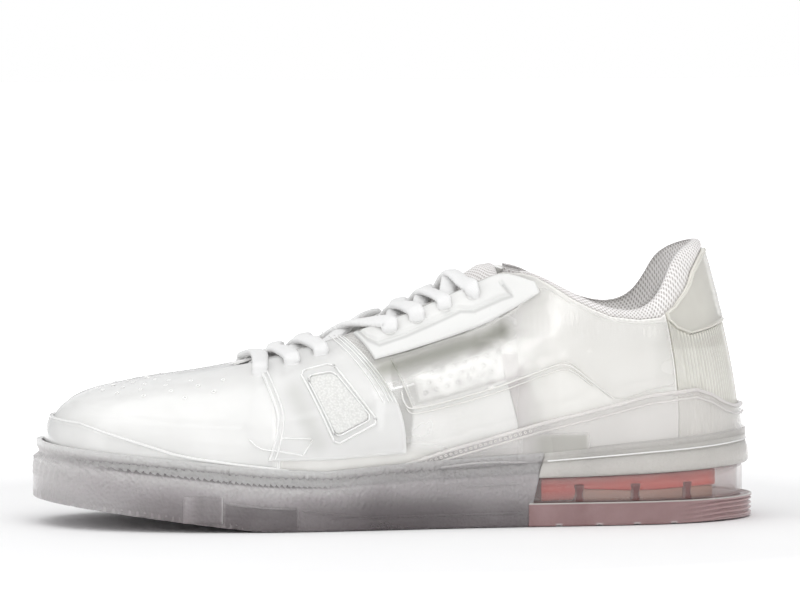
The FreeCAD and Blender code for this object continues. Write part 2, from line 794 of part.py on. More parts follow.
# --- build ---------------------------------------------------------------------------------------
def build():
    nodes = {
        "outsole": make_outsole(),
        "heel_outsole": make_heel_outsole(),
        "sidewall": make_sidewall(),
        "midsole_core": make_midsole_core(),
        "air_unit": make_air_unit(),
        "cushion_core": make_cushion_core(),
        "cushion_posts": make_cushion_posts(),
        "heel_flange": make_heel_flange(),
        "heel_platform": make_heel_platform(),
        "heel_cup": make_heel_cup(),
        "cup_bead": make_cup_bead(),
        "insole_board": make_insole_board(),
        "sockliner": make_sockliner(),
        "toe_box": make_toe_box(),
        "toe_rand": make_toe_rand(),
        "heel_counter": make_heel_counter(),
        "heel_tab": make_heel_tab(),
        "collar_lining": make_collar_lining(),
        "tongue": make_tongue(),
        "tongue_lining": make_tongue_lining(),
        "lace": make_lace(),
        "aglets": make_aglets(),
    }
    for name, side in SIDES.items():
        nodes["quarter_" + name] = make_quarter(side)
        nodes["quarter_overlay_" + name] = make_quarter_overlay(side)
        nodes["strap_" + name] = make_strap(side)
        nodes["badge_frame_" + name] = make_badge_frame(side)
        nodes["badge_plate_" + name] = make_badge_plate(side)
        nodes["eyestay_" + name] = make_eyestay(side)
        nodes["perforated_panel_" + name] = make_perforated_panel(side)
        nodes["midfoot_panel_" + name] = make_midfoot_panel(side)
        nodes["inner_strap_" + name] = make_inner_strap(side)
        nodes["sole_insert_" + name] = make_sole_insert(side)
    return nodes


os.makedirs("parts", exist_ok=True)
for node, shape in build().items():
    if shape.ShapeType != "Solid" and len(shape.Solids) == 1:
        shape = shape.Solids[0]
    print(node, shape.ShapeType, len(shape.Solids), shape.isValid(), round(shape.Volume, 1))
    shape.exportStep("parts/" + node + ".step")
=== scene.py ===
import json
import math

import bmesh
import bpy
import numpy as np
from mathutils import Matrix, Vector


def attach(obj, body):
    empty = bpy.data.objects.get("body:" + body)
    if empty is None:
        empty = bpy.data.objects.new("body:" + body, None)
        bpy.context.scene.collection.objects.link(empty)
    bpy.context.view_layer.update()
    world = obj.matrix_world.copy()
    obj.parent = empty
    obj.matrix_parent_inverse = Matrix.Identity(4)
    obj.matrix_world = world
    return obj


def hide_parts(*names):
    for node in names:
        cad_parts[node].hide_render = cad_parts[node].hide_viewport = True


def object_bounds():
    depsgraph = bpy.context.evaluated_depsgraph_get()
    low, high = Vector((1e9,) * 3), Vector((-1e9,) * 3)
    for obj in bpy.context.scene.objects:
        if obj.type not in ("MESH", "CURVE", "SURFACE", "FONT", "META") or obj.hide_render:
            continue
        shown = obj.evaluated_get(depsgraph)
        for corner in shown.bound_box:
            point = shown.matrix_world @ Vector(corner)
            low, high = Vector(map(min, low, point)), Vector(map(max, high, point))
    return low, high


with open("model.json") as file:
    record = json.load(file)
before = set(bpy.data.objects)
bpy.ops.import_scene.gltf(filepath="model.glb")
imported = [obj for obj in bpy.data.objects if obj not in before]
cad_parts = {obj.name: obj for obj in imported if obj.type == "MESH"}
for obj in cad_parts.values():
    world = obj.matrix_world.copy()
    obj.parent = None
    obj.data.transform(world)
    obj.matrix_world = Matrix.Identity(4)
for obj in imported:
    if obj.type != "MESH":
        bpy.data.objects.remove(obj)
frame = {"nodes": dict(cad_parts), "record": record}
cad_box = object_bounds()

# A clear low-top sneaker for the left foot. Lengths below are in millimetres, as in the CAD source,
# and MM turns them into the frame's metres when a mesh is made.
# +X runs from toe to heel, -Y is the lateral side, +Z is up.
MM = 0.001
LATERAL = -1
MEDIAL = 1
SIDES = {"lateral": LATERAL, "medial": MEDIAL}

# --- driving dimensions, the CAD model's own ---------------------------------------------------
TOE_SHIFT = 6.0
CENTRE_Y = -1.9
SOLE_OUTSET = 5.5
TOE_OUTSET = 1.8
TOE_SPRING = 11.0
SPRING_START = -58.0
SPRING_EASE = 0.08
TOE_END = -151.0
OUTSOLE_THICKNESS = 5.0
HEEL_START = 50.0
GAP = 0.2
SHELL = 1.1
OVERLAY = 1.0
OVER = SHELL + GAP
UNDER = -GAP
CUP_INNER = SHELL + 3 * GAP
CUP = 1.2
WALL_INNER = 3.3
TOE_SEAM = 5.3
HEEL_SEAM = 14.1

STATIONS = [
    ((-143.5, 0, None), (-144.5, 0, 57), (-122, 0, 55.5), (-66, 0, 64)),
    ((-141.5, 15, None), (-143, 14.5, 56), (-120, 10, 56), (-66, 2.5, 64)),
    ((-134, 28.5, None), (-136, 28.5, 54), (-115, 22, 56.5), (-65.5, 5, 64)),
    ((-118, 39.5, None), (-120, 41, 52), (-103, 32, 58), (-65, 7.2, 64.2)),
    ((-92, 46.5, None), (-93, 49, 49), (-85, 37, 60), (-63.5, 9, 64.5)),
    ((-62, 49, None), (-62, 52, 46), (-60, 38, 62), (-57, 10, 66.5)),
    ((-36, 47.5, None), (-36, 50.5, 46), (-36, 36, 66), (-36, 11, 73)),
    ((-12, 44.5, None), (-12, 48, 47), (-12, 36, 71), (-12, 12.5, 80)),
    ((11, 41.5, None), (11, 45, 49), (11, 36, 77), (11, 15, 89.5)),
    ((32, 39.5, None), (32, 42.5, 51), (32, 36.5, 83), (32, 18.5, 99)),
    ((49, 38.5, None), (49, 41, 52), (49, 37, 84), (49, 23.5, 107.5)),
    ((63, 38, None), (63, 40.5, 51), (63, 38, 79), (63, 30, 100)),
    ((79, 37.5, None), (79, 39.5, 49), (79, 38, 73), (79, 33.5, 91.5)),
    ((96, 36.5, None), (96, 38.5, 47), (96, 37, 69), (95, 33, 87)),
    ((113, 33.5, None), (114, 35.5, 48), (112, 34.5, 72), (107, 30, 92.5)),
    ((128, 27, None), (130, 28.5, 49), (125, 27, 78), (114, 24.5, 109)),
    ((140.5, 16, None), (142, 16.5, 50), (134.5, 15.5, 82), (122.5, 14, 114.5)),
    ((147.8, 0, None), (147, 0, 50), (139.5, 0, 83), (131, 0, 117)),
]
MEDIAL_WIDTH = [1, 1, 1.03, 1.06, 1.06, 1.03, 0.98, 0.93, 0.9, 0.9, 0.91, 0.93, 0.95, 0.97, 1, 1, 1, 1]
HEEL = len(STATIONS) - 1
TURN = 2 * HEEL

# Lines round the shoe as (x, z) knots, the same on both sides.
LEDGE = [(-144, 33), (-132, 30.5), (-114, 28.6), (-97, 27), (-81, 25.3), (-56, 23.2), (-35, 22.6),
         (0, 26.4), (54, 30), (100, 34), (140, 36.8)]
SOLE_TOP = [(-148, 34.6), (-132, 32.6), (-114, 31.0), (-97, 29.5), (-81, 27.8), (-56, 25.5), (-35, 24.4),
            (0, 27.2), (54, 30), (100, 34), (140, 36.8)]
SHELL_TOP = [(-200, 110), (36, 103), (43, 103.5), (50, 103.4), (55, 102.2), (61.5, 98.4), (70, 93.0),
             (78, 88.9), (86, 85.7), (98, 84.2), (107, 85), (112.5, 89.4), (116.5, 95.3),
             (121, 103.2), (126, 108.8), (131, 113.5)]
RAND_TOP = [(-141, 43.5), (-132, 43), (-121, 39.5), (-105, 34.8), (-97, 32.3), (-89, 30.6),
            (-72, 28.2), (-55, 26.2), (-44, 24.4), (-35, 22.9)]
CUP_TOP = [(-25, 23.8), (-5, 26.3), (17, 32.7), (38, 38.1), (55, 42.7), (81, 48.7), (102, 53.8),
           (121, 55.6), (128, 53), (134, 49.3), (139, 47.2)]
TAB_BASE = [(108, 86), (114, 80), (120, 77.6), (128, 79), (137.5, 81.4)]
PAD_BASE = 72.0
EYELET_X = (-57, -45, -33, -4, 7.5, 19, 30.5)
EYELET_DROP = 4.8


# --- the skin of the upper, as arrays --------------------------------------------------------
def along(knots, x):
    xs, values = zip(*knots)
    return np.interp(x, xs, values)


def footbed(x):
    front = 21 + 9 * (np.clip(-30 - x, 0, None) / 113) ** 1.5
    back = 21 + 5 * (np.clip(x + 30, 0, None) / 175) ** 1.1
    return np.where(x < -30, front, back)


def ground(x):
    """Underside of the outsole, with its toe spring."""
    run = np.clip((SPRING_START - x) / (SPRING_START - TOE_END), 0, None)
    return TOE_SPRING * run * run * (1 + SPRING_EASE) / (run + SPRING_EASE)


def air_top(x):
    return 19.6 + 3.0 * (np.clip(x - HEEL_START, 0, None) / 97) ** 1.5


def centre_y(x):
    return CENTRE_Y + TOE_SHIFT * (np.clip(-40 - x, 0, None) / 110) ** 1.6


def control_rows():
    """The control points of every station round the shoe: an array of TURN x 4 x 3."""
    rows = np.zeros((TURN, 4, 3))
    for k in range(TURN):
        side = LATERAL if k <= HEEL else MEDIAL
        index = k if k <= HEEL else TURN - k
        width = MEDIAL_WIDTH[index] if side == MEDIAL else 1.0
        for i, share in enumerate((1, 1, 0.5, 0)):
            x, y, z = STATIONS[index][i]
            height = footbed(x) if z is None else z
            rows[k, i] = (x, side * y * (1 + (width - 1) * share) + centre_y(x), height)
    return rows


ROWS = control_rows()


def skin(p, t):
    """Points on the skin: p counts stations round the shoe, t runs from foot to topline."""
    p, t = np.broadcast_arrays(np.asarray(p, float), np.asarray(t, float))
    base = np.floor(p).astype(int)
    f = p - base
    weights = [(1 - f) ** 3 / 6, (3 * f**3 - 6 * f**2 + 4) / 6,
               (-3 * f**3 + 3 * f**2 + 3 * f + 1) / 6, f**3 / 6]
    bezier = [(1 - t) ** 3, 3 * t * (1 - t) ** 2, 3 * t * t * (1 - t), t**3]
    point = np.zeros(p.shape + (3,))
    for i, wa in enumerate(weights):
        row = ROWS[(base - 1 + i) % TURN]
        for j, wt in enumerate(bezier):
            point += row[..., j, :] * (wa * wt)[..., None]
    return point


def unit(v):
    return v / np.maximum(np.linalg.norm(v, axis=-1, keepdims=True), 1e-9)


def skin_normal(p, t):
    step = 0.01
    t = np.clip(t, step, 1 - step)
    dp = skin(p + step, t) - skin(p - step, t)
    dt = skin(p, t + step) - skin(p, t - step)
    return unit(np.cross(dp, dt))


def on_skin(p, t, offset):
    return skin(p, t) + skin_normal(p, t) * np.asarray(offset, float)[..., None]


def level(p, z):
    """The t at which the skin of station p reaches height z."""
    p, z = np.broadcast_arrays(np.asarray(p, float), np.asarray(z, float))
    low, high = np.zeros(p.shape), np.ones(p.shape)
    for _ in range(22):
        mid = (low + high) / 2
        below = skin(p, mid)[..., 2] < z
        low = np.where(below, mid, low)
        high = np.where(below, high, mid)
    return (low + high) / 2


def locate(x, z, side):
    """The (p, t) of points that are seen at (x, z) from the side."""
    x, z = np.broadcast_arrays(np.asarray(x, float), np.asarray(z, float))
    low, high = np.full(x.shape, 3.0), np.full(x.shape, HEEL - 0.5)
    for _ in range(18):
        mid = (low + high) / 2
        p = mid if side == LATERAL else TURN - mid
        before = skin(p, level(p, z))[..., 0] < x
        low = np.where(before, mid, low)
        high = np.where(before, high, mid)
    p = low if side == LATERAL else TURN - low
    return p, level(p, z)


def station_at(x, t=0.0):
    """Lateral station number whose skin lies at x."""
    low, high = 0.0, float(HEEL)
    for _ in range(30):
        mid = (low + high) / 2
        if skin(mid, t)[0] < x:
            low = mid
        else:
            high = mid
    return (low + high) / 2


def line_level(knots, p, lift=0.0):
    """The t of a line given as (x, z) knots, raised by lift."""
    z = along(knots, skin(p, 0.3)[..., 0])
    for _ in range(3):
        z = along(knots, skin(p, level(p, z + lift))[..., 0])
    return level(p, z + lift)


def shell_edge(p):
    return np.minimum(line_level(SHELL_TOP, p), 0.995)


def plan(p, outset, z):
    """Points at height z, outset from the foot of the skin."""
    step = 0.01
    here = skin(p, 0)
    run = skin(p + step, 0) - skin(p - step, 0)
    out = unit(np.stack([run[..., 1], -run[..., 0], np.zeros(run.shape[:-1])], -1))
    point = here + out * np.asarray(outset, float)[..., None]
    point[..., 2] = z
    return point


def sole_outset(p):
    from_toe = np.minimum(p % TURN, TURN - p % TURN)
    return SOLE_OUTSET + TOE_OUTSET * np.exp(-((from_toe / 2.2) ** 2))


def ripple(points, amplitude, length=26.0):
    """Slow unevenness of moulded film, as an offset for each point."""
    x, y, z = points[..., 0], points[..., 1], points[..., 2]
    a = np.sin(2 * math.pi * (x * 0.9 + z * 0.5) / length + 1.3)
    b = np.sin(2 * math.pi * (z * 1.1 - x * 0.35 + y * 0.3) / (length * 0.71) + 0.4)
    c = np.sin(2 * math.pi * (x * 0.55 + y * 0.8) / (length * 1.7) + 2.1)
    return amplitude * (0.45 * a + 0.35 * b + 0.2 * c)


def smooth_line(points, count, closed=False):
    """Evenly spaced points on a smooth curve through a few points."""
    ring = np.asarray(points, float)
    if closed:
        ring = np.vstack([ring[-1:], ring, ring[:2]])
    else:
        ring = np.vstack([2 * ring[0] - ring[1], ring, 2 * ring[-1] - ring[-2]])
    f = np.linspace(0, 1, 24, endpoint=False)[:, None]
    runs = []
    for a, b, c, d in zip(ring, ring[1:], ring[2:], ring[3:]):
        runs.append(0.5 * (2 * b + (c - a) * f + (2 * a - 5 * b + 4 * c - d) * f**2
                           + (3 * b - a - 3 * c + d) * f**3))
    if not closed:
        runs.append(ring[-2:-1])
    return resample(np.vstack(runs), count, closed)


def resample(line, count, closed=False):
    if closed:
        line = np.vstack([line, line[:1]])
    steps = np.linalg.norm(np.diff(line, axis=0), axis=1)
    run = np.concatenate([[0], np.cumsum(steps)])
    at = np.linspace(0, run[-1], count, endpoint=not closed)
    return np.stack([np.interp(at, run, line[:, i]) for i in range(line.shape[1])], -1)


def rounded_outline(corners, radius, per_corner=7):
    """Closed outline of a polygon with its corners rounded."""
    points = []
    corners = np.asarray(corners, float)
    for before, corner, after in zip(np.roll(corners, 1, 0), corners, np.roll(corners, -1, 0)):
        start = corner + unit(before - corner) * radius
        end = corner + unit(after - corner) * radius
        for f in np.linspace(0, 1, per_corner):
            points.append((1 - f) ** 2 * start + 2 * f * (1 - f) * corner + f * f * end)
    return np.array(points)


def near_line(points, line, reach):
    """1 on a line drawn in the side view, falling smoothly to 0 at reach."""
    xz = points[..., [0, 2]]
    best = np.full(xz.shape[:-1], 1e9)
    line = np.asarray(line, float)
    for a, b in zip(line, line[1:]):
        along_line = b - a
        f = np.clip(((xz - a) @ along_line) / (along_line @ along_line), 0, 1)
        best = np.minimum(best, np.linalg.norm(xz - (a + f[..., None] * along_line), axis=-1))
    s = np.clip(1 - best / reach, 0, 1)
    return s * s * (3 - 2 * s)


def edge_steps(count, length, roll=0.8):
    """Shares from 0 to 1 with three close steps at each end, where an edge rounds over."""
    close = np.array([0, 0.12, 0.38, 1.0]) * roll / length
    middle = np.linspace(close[-1], 1 - close[-1], count - 6)
    return np.concatenate([close[:-1], middle, 1 - close[:-1][::-1]])


def edge_round(shares, length, roll=0.8):
    """Height share of a rounded border: 0 at the very edge, 1 past the roll."""
    d = np.minimum(shares, 1 - shares) * length
    f = np.clip(d / roll, 0, 1)
    return np.sqrt(1 - (1 - f) ** 2)


# --- meshes ----------------------------------------------------------------------------------
def loft(rings, wrap=False, capped=True):
    """Part made of closed sections: rings is an array of sections x points x 3."""
    rings = np.asarray(rings, float)
    n, k = rings.shape[:2]
    faces = []
    for i in range(n if wrap else n - 1):
        a, b = i * k, ((i + 1) % n) * k
        for j in range(k):
            m = (j + 1) % k
            faces.append((a + j, a + m, b + m, b + j))
    if capped and not wrap:
        for a in (0, (n - 1) * k):
            for j in range(k // 2 - 1):
                faces.append((a + j, a + j + 1, a + k - 2 - j, a + k - 1 - j))
    steps_u = np.linalg.norm(np.diff(rings, axis=0), axis=2).mean(1)
    steps_v = np.linalg.norm(np.diff(rings, axis=1), axis=2).mean(0)
    u = np.concatenate([[0], np.cumsum(steps_u)])
    v = np.concatenate([[0], np.cumsum(steps_v)])
    uv = np.stack(np.broadcast_arrays(u[:, None], v[None, :]), -1)
    return rings.reshape(-1, 3), faces, uv.reshape(-1, 2)


def slab(outer, inner):
    """Part between an outer and an inner grid of the same shape."""
    return loft(np.concatenate([outer, inner[:, ::-1]], axis=1))


def tube(path, normals, width, thickness, sides=10, wrap=False, taper=None):
    """Part swept along a path: width across it and thickness along the normals."""
    ahead = np.roll(path, -1, 0) - np.roll(path, 1, 0)
    if not wrap:
        ahead[0] = path[1] - path[0]
        ahead[-1] = path[-1] - path[-2]
    ahead = unit(ahead)
    across = unit(np.cross(ahead, normals))
    upright = unit(np.cross(across, ahead))
    size = np.ones(len(path)) if taper is None else taper
    angles = np.linspace(0, 2 * math.pi, sides, endpoint=False)
    rings = np.zeros((len(path), sides, 3))
    for j, angle in enumerate(angles):
        rings[:, j] = path + size[:, None] * (across * (width / 2 * math.cos(angle))
                                              + upright * (thickness / 2 * math.sin(angle)))
    return loft(rings, wrap=wrap)


def end_taper(count, steps=3):
    """Size along a tube whose ends are rounded off."""
    d = np.minimum(np.arange(count), np.arange(count)[::-1]) / steps
    return np.sqrt(1 - (1 - np.clip(d, 0, 1)) ** 2) * 0.97 + 0.03


def piece(name, parts, material, body="shoe", nodes=()):
    """Object made of parts, riding on a body and standing for CAD nodes."""
    parts = parts if isinstance(parts, list) else [parts]
    points, faces, uvs = [], [], []
    start = 0
    for verts, quads, uv in parts:
        points.append(verts)
        uvs.append(uv)
        faces.extend([tuple(i + start for i in quad) for quad in quads])
        start += len(verts)
    points, uvs = np.vstack(points) * MM, np.vstack(uvs) * MM
    mesh = bpy.data.meshes.new(name)
    mesh.from_pydata(points.tolist(), [], faces)
    layer = mesh.uv_layers.new(name="UVMap")
    index = np.zeros(len(mesh.loops), int)
    mesh.loops.foreach_get("vertex_index", index)
    layer.data.foreach_set("uv", uvs[index].ravel())
    mesh.polygons.foreach_set("use_smooth", np.ones(len(mesh.polygons), bool))
    work = bmesh.new()
    work.from_mesh(mesh)
    bmesh.ops.recalc_face_normals(work, faces=work.faces)
    work.to_mesh(mesh)
    work.free()
    obj = bpy.data.objects.new(name, mesh)
    bpy.context.scene.collection.objects.link(obj)
    mesh.materials.append(material)
    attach(obj, body)
    if nodes:
        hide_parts(*nodes)
    return obj


def mark(obj, name, values_of):
    """Writes a number for each point of a piece, worked out from its place in millimetres."""
    mesh = obj.data
    points = np.zeros(len(mesh.vertices) * 3)
    mesh.vertices.foreach_get("co", points)
    values = values_of(points.reshape(-1, 3) / MM)
    mesh.attributes.new(name, "FLOAT", "POINT").data.foreach_set("value", values)
    return obj


def bead(side, line, base, width, height, closed=False, spacing=1.2):
    """Raised line on the side of the upper, through a few side-view points."""
    rough = np.asarray(line, float)
    length = np.linalg.norm(np.diff(rough, axis=0), axis=1).sum()
    count = max(6, int(length / spacing))
    at = smooth_line(line, count, closed)
    p, t = locate(at[:, 0], at[:, 1], side)
    return skin_bead(p, t, base, width, height, wrap=closed)


def skin_bead(p, t, base, width, height, wrap=False):
    path = on_skin(p, t, base)
    taper = None if wrap else end_taper(len(path))
    return tube(path, skin_normal(p, t), width, height, wrap=wrap, taper=taper)


def band(p_start, p_end, low, high, inner, outer, columns, rows, relief=None, roll=0.8):
    """Piece of the skin between heights t = low(p) and t = high(p), with rounded borders."""
    p = np.linspace(p_start, p_end, columns)
    middle = skin(p, 0.5)
    length = np.linalg.norm(np.diff(middle, axis=0), axis=1).sum()
    p = p_start + (p_end - p_start) * edge_steps(columns, length, roll)
    bottom, top = low(p), high(p)
    tall = np.linalg.norm(skin(p, top) - skin(p, bottom), axis=-1).mean()
    v = edge_steps(rows, tall, roll)
    t = bottom[:, None] + (top - bottom)[:, None] * v
    p = np.broadcast_to(p[:, None], t.shape)
    u_share = edge_steps(columns, length, roll)
    rounding = np.minimum(edge_round(u_share, length, roll)[:, None], edge_round(v, tall, roll)[None, :])
    base = skin(p, t)
    lift = outer + (relief(base, p, t) if relief else 0.0)
    return slab(on_skin(p, t, inner + (lift - inner) * rounding), on_skin(p, t, np.full(t.shape, inner)))


def panel_grid(side, low, high, columns, rows, roll=0.8):
    """The (p, t) grid of a four-sided piece between two side-view edges, and its edge rounding."""
    wide = np.linalg.norm(np.diff(np.asarray(low, float), axis=0), axis=1).sum()
    tall = np.linalg.norm(np.asarray(low[0], float) - np.asarray(high[0], float))
    tall = (tall + np.linalg.norm(np.asarray(low[-1], float) - np.asarray(high[-1], float))) / 2
    u, v = edge_steps(columns, wide, roll), edge_steps(rows, tall, roll)
    ends = []
    for edge in (low, high):
        fine = smooth_line(edge, 400)
        at = np.stack([np.interp(u, np.linspace(0, 1, 400), fine[:, i]) for i in (0, 1)], -1)
        ends.append(locate(at[:, 0], at[:, 1], side))
    p = ends[0][0][:, None] + (ends[1][0] - ends[0][0])[:, None] * v
    t = ends[0][1][:, None] + (ends[1][1] - ends[0][1])[:, None] * v
    rounding = np.minimum(edge_round(u, wide, roll)[:, None], edge_round(v, tall, roll)[None, :])
    return p, t, rounding


def panel(side, low, high, inner, outer, columns=40, rows=20, relief=None, roll=0.8):
    p, t, rounding = panel_grid(side, low, high, columns, rows, roll)
    base = skin(p, t)
    lift = outer + (relief(base, p, t) if relief else 0.0)
    return slab(on_skin(p, t, inner + (lift - inner) * rounding), on_skin(p, t, np.full(t.shape, inner)))


def patch(side, outline, inner, outer, rings=8, relief=None):
    """Raised plate on the upper inside a closed side-view outline, crowned at its rim."""
    outline = np.asarray(outline, float)
    centre = outline.mean(0)
    shares = np.array([1.0, 1.0, 0.985, 0.95] + list(np.linspace(0.85, 0.04, rings)))
    heights = np.array([0.0, 0.55, 0.9, 1.0] + [1.0] * rings)
    top, count = [], len(outline)
    for share, height in zip(shares, heights):
        at = centre + (outline - centre) * share
        p, t = locate(at[:, 0], at[:, 1], side)
        lift = outer + (relief(skin(p, t)) if relief else 0.0)
        top.append(on_skin(p, t, inner + (lift - inner) * height))
    rows = np.array(top)
    points = rows.reshape(-1, 3)
    faces = []
    for i in range(len(rows) - 1):
        for j in range(count):
            m = (j + 1) % count
            faces.append((i * count + j, i * count + m, (i + 1) * count + m, (i + 1) * count + j))
    last = (len(rows) - 1) * count
    faces.append(tuple(range(last, last + count)))
    faces.append(tuple(range(count))[::-1])
    return points, faces, points[:, [0, 2]]


def ring_mark(side, x, z, base, radius, height=0.35, sides=12):
    """Small raised rim round a punched hole."""
    p, t = locate(np.array([x]), np.array([z]), side)
    return rim_at(p, t, base, radius, height, sides)


def rim_at(p, t, base, radius, height=0.35, sides=12):
    centre = on_skin(p, t, np.array([base]))[0]
    normal = skin_normal(p, t)[0]
    first = unit(np.cross(normal, np.array([0.0, 0.3, 1.0])))
    second = np.cross(normal, first)
    angles = np.linspace(0, 2 * math.pi, sides, endpoint=False)
    path = np.array([centre + radius * (first * math.cos(a) + second * math.sin(a)) for a in angles])
    return tube(path, np.tile(normal, (sides, 1)), 0.45, height, sides=6, wrap=True)


# --- materials -------------------------------------------------------------------------------
class Shade:
    """A Principled material under construction."""

    def __init__(self, name, **sockets):
        self.material = bpy.data.materials.new(name)
        self.material.use_nodes = True
        self.nodes = self.material.node_tree.nodes
        self.links = self.material.node_tree.links
        self.nodes.clear()
        self.out = self.nodes.new("ShaderNodeOutputMaterial")
        self.shader = self.nodes.new("ShaderNodeBsdfPrincipled")
        self.links.new(self.shader.outputs["BSDF"], self.out.inputs["Surface"])
        self.space = self.nodes.new("ShaderNodeTexCoord")
        self.normal = None
        for key, value in sockets.items():
            self.shader.inputs[key.replace("_", " ").title().replace("Ior", "IOR")].default_value = value

    def node(self, kind, inputs=None, **props):
        node = self.nodes.new(kind)
        for key, value in props.items():
            setattr(node, key, value)
        for key, value in (inputs or {}).items():
            if isinstance(value, bpy.types.NodeSocket):
                self.links.new(value, node.inputs[key])
            else:
                node.inputs[key].default_value = value
        return node

    def noise(self, scale, detail=2.0, space="Object", distortion=0.0):
        inputs = {"Scale": scale, "Detail": detail, "Distortion": distortion,
                  "Vector": self.space.outputs[space]}
        return self.node("ShaderNodeTexNoise", inputs).outputs["Fac"]

    def cells(self, scale, space="Object", feature="F1", randomness=1.0):
        inputs = {"Scale": scale, "Randomness": randomness, "Vector": self.space.outputs[space]}
        return self.node("ShaderNodeTexVoronoi", inputs, feature=feature).outputs["Distance"]

    def math(self, operation, a, b=0.0, c=0.0):
        return self.node("ShaderNodeMath", {0: a, 1: b, 2: c}, operation=operation).outputs[0]

    def ramp(self, fac, stops):
        node = self.node("ShaderNodeValToRGB", {"Fac": fac})
        elements = node.color_ramp.elements
        while len(elements) < len(stops):
            elements.new(0.5)
        for element, (position, colour) in zip(elements, stops):
            element.position = position
            element.color = (*colour, 1.0)
        return node.outputs["Color"]

    def level(self, fac, low, high):
        """fac from 0..1 mapped to low..high."""
        return self.math("MULTIPLY_ADD", fac, high - low, low)

    def put(self, socket, value):
        self.links.new(value, self.shader.inputs[socket])

    def bump(self, height, strength, distance):
        inputs = {"Height": height, "Strength": strength, "Distance": distance}
        if self.normal is not None:
            inputs["Normal"] = self.normal
        self.normal = self.node("ShaderNodeBump", inputs).outputs["Normal"]
        self.put("Normal", self.normal)

    def facing(self, straight, grazing, power):
        """Share that a surface mirrors, from straight on to grazing, the same on both faces."""
        inputs = {"Blend": 0.5}
        if self.normal is not None:
            inputs["Normal"] = self.normal
        turned = self.node("ShaderNodeLayerWeight", inputs).outputs["Facing"]
        return self.math("MULTIPLY_ADD", self.math("POWER", turned, power), grazing, straight)

    def dots(self, pitch_x, pitch_y, stagger=True):
        """Distance to the nearest of a grid of dots in UV space, in shares of a pitch."""
        best = None
        for shift in ((0.0, 0.0), (0.5, 0.5)) if stagger else ((0.0, 0.0),):
            scaled = self.node("ShaderNodeMapping", {"Vector": self.space.outputs["UV"],
                                                     "Scale": (1 / pitch_x, 1 / pitch_y, 0.0),
                                                     "Location": (shift[0], shift[1], 0.0)})
            cell = self.node("ShaderNodeVectorMath", {0: scaled.outputs[0]}, operation="FRACTION")
            centred = self.node("ShaderNodeVectorMath", {0: cell.outputs[0], 1: (0.5, 0.5, 0.0)},
                                operation="SUBTRACT")
            reach = self.node("ShaderNodeVectorMath", {0: centred.outputs[0]}, operation="LENGTH")
            reach = reach.outputs["Value"]
            best = reach if best is None else self.math("MINIMUM", best, reach)
        return best


# A film's shade mark mixes its colour towards this dark tint; under the eyestay and on the strap it is painted
# shade, the shaded inside of the shoe seen through the film.
FILM_SHADE = (0.34, 0.34, 0.29)  # where the inside of the shoe shows dark through the film


def film(name, light, dark, solid, rough=0.1, haze=0.04, wave=0.25, fine=0.0):
    """Clear moulded film: see-through with a little haze, milky at worn edges, glossy on its face."""
    s = Shade(name)
    cloud = s.noise(38, 3)
    # painted shade, mixed in where the piece is marked
    shade = s.node("ShaderNodeAttribute", attribute_name="shade").outputs["Fac"]
    tinted = s.node("ShaderNodeMix", {0: shade, 7: (*FILM_SHADE, 1)}, data_type="RGBA")
    s.links.new(s.ramp(cloud, [(0.3, dark), (0.7, light)]), tinted.inputs[6])
    s.put("Base Color", tinted.outputs[2])
    s.put("Roughness", s.level(s.noise(120, 2), 0.35, 0.6))
    s.bump(s.noise(70, 1, distortion=0.4), wave, 0.0012)
    if fine:
        s.bump(s.noise(900, 2), fine, 0.0002)
    worn = s.node("ShaderNodeNewGeometry").outputs["Pointiness"]
    thick = s.math("MULTIPLY", s.math("SUBTRACT", worn, 0.51), 7.0)
    thick = s.node("ShaderNodeClamp", {"Value": thick, "Min": 0.0, "Max": 0.5}).outputs[0]
    thick = s.math("ADD", thick, s.node("ShaderNodeAttribute", attribute_name="haze").outputs["Fac"])
    body = s.math("ADD", s.level(cloud, solid - haze, solid + haze), thick)
    body = s.node("ShaderNodeClamp", {"Value": body}).outputs[0]
    clear = s.node("ShaderNodeBsdfTransparent").outputs[0]
    hazy = s.node("ShaderNodeMixShader", {0: body, 1: clear, 2: s.shader.outputs["BSDF"]}).outputs[0]
    gloss = s.node("ShaderNodeBsdfGlossy", {"Normal": s.normal,
                                            "Roughness": s.level(s.noise(60, 2), rough * 0.7, rough * 1.4)})
    edge = s.facing(0.04, 0.7, 4.0)
    s.links.new(s.node("ShaderNodeMixShader", {0: edge, 1: hazy, 2: gloss.outputs[0]}).outputs[0],
                s.out.inputs["Surface"])
    return s.material


# Painted light: the colour of highlights, and of thin rubber with light coming through.
SOLE_PAINTED_LIGHT = (0.86, 0.85, 0.84)  # thin rubber where the light comes through


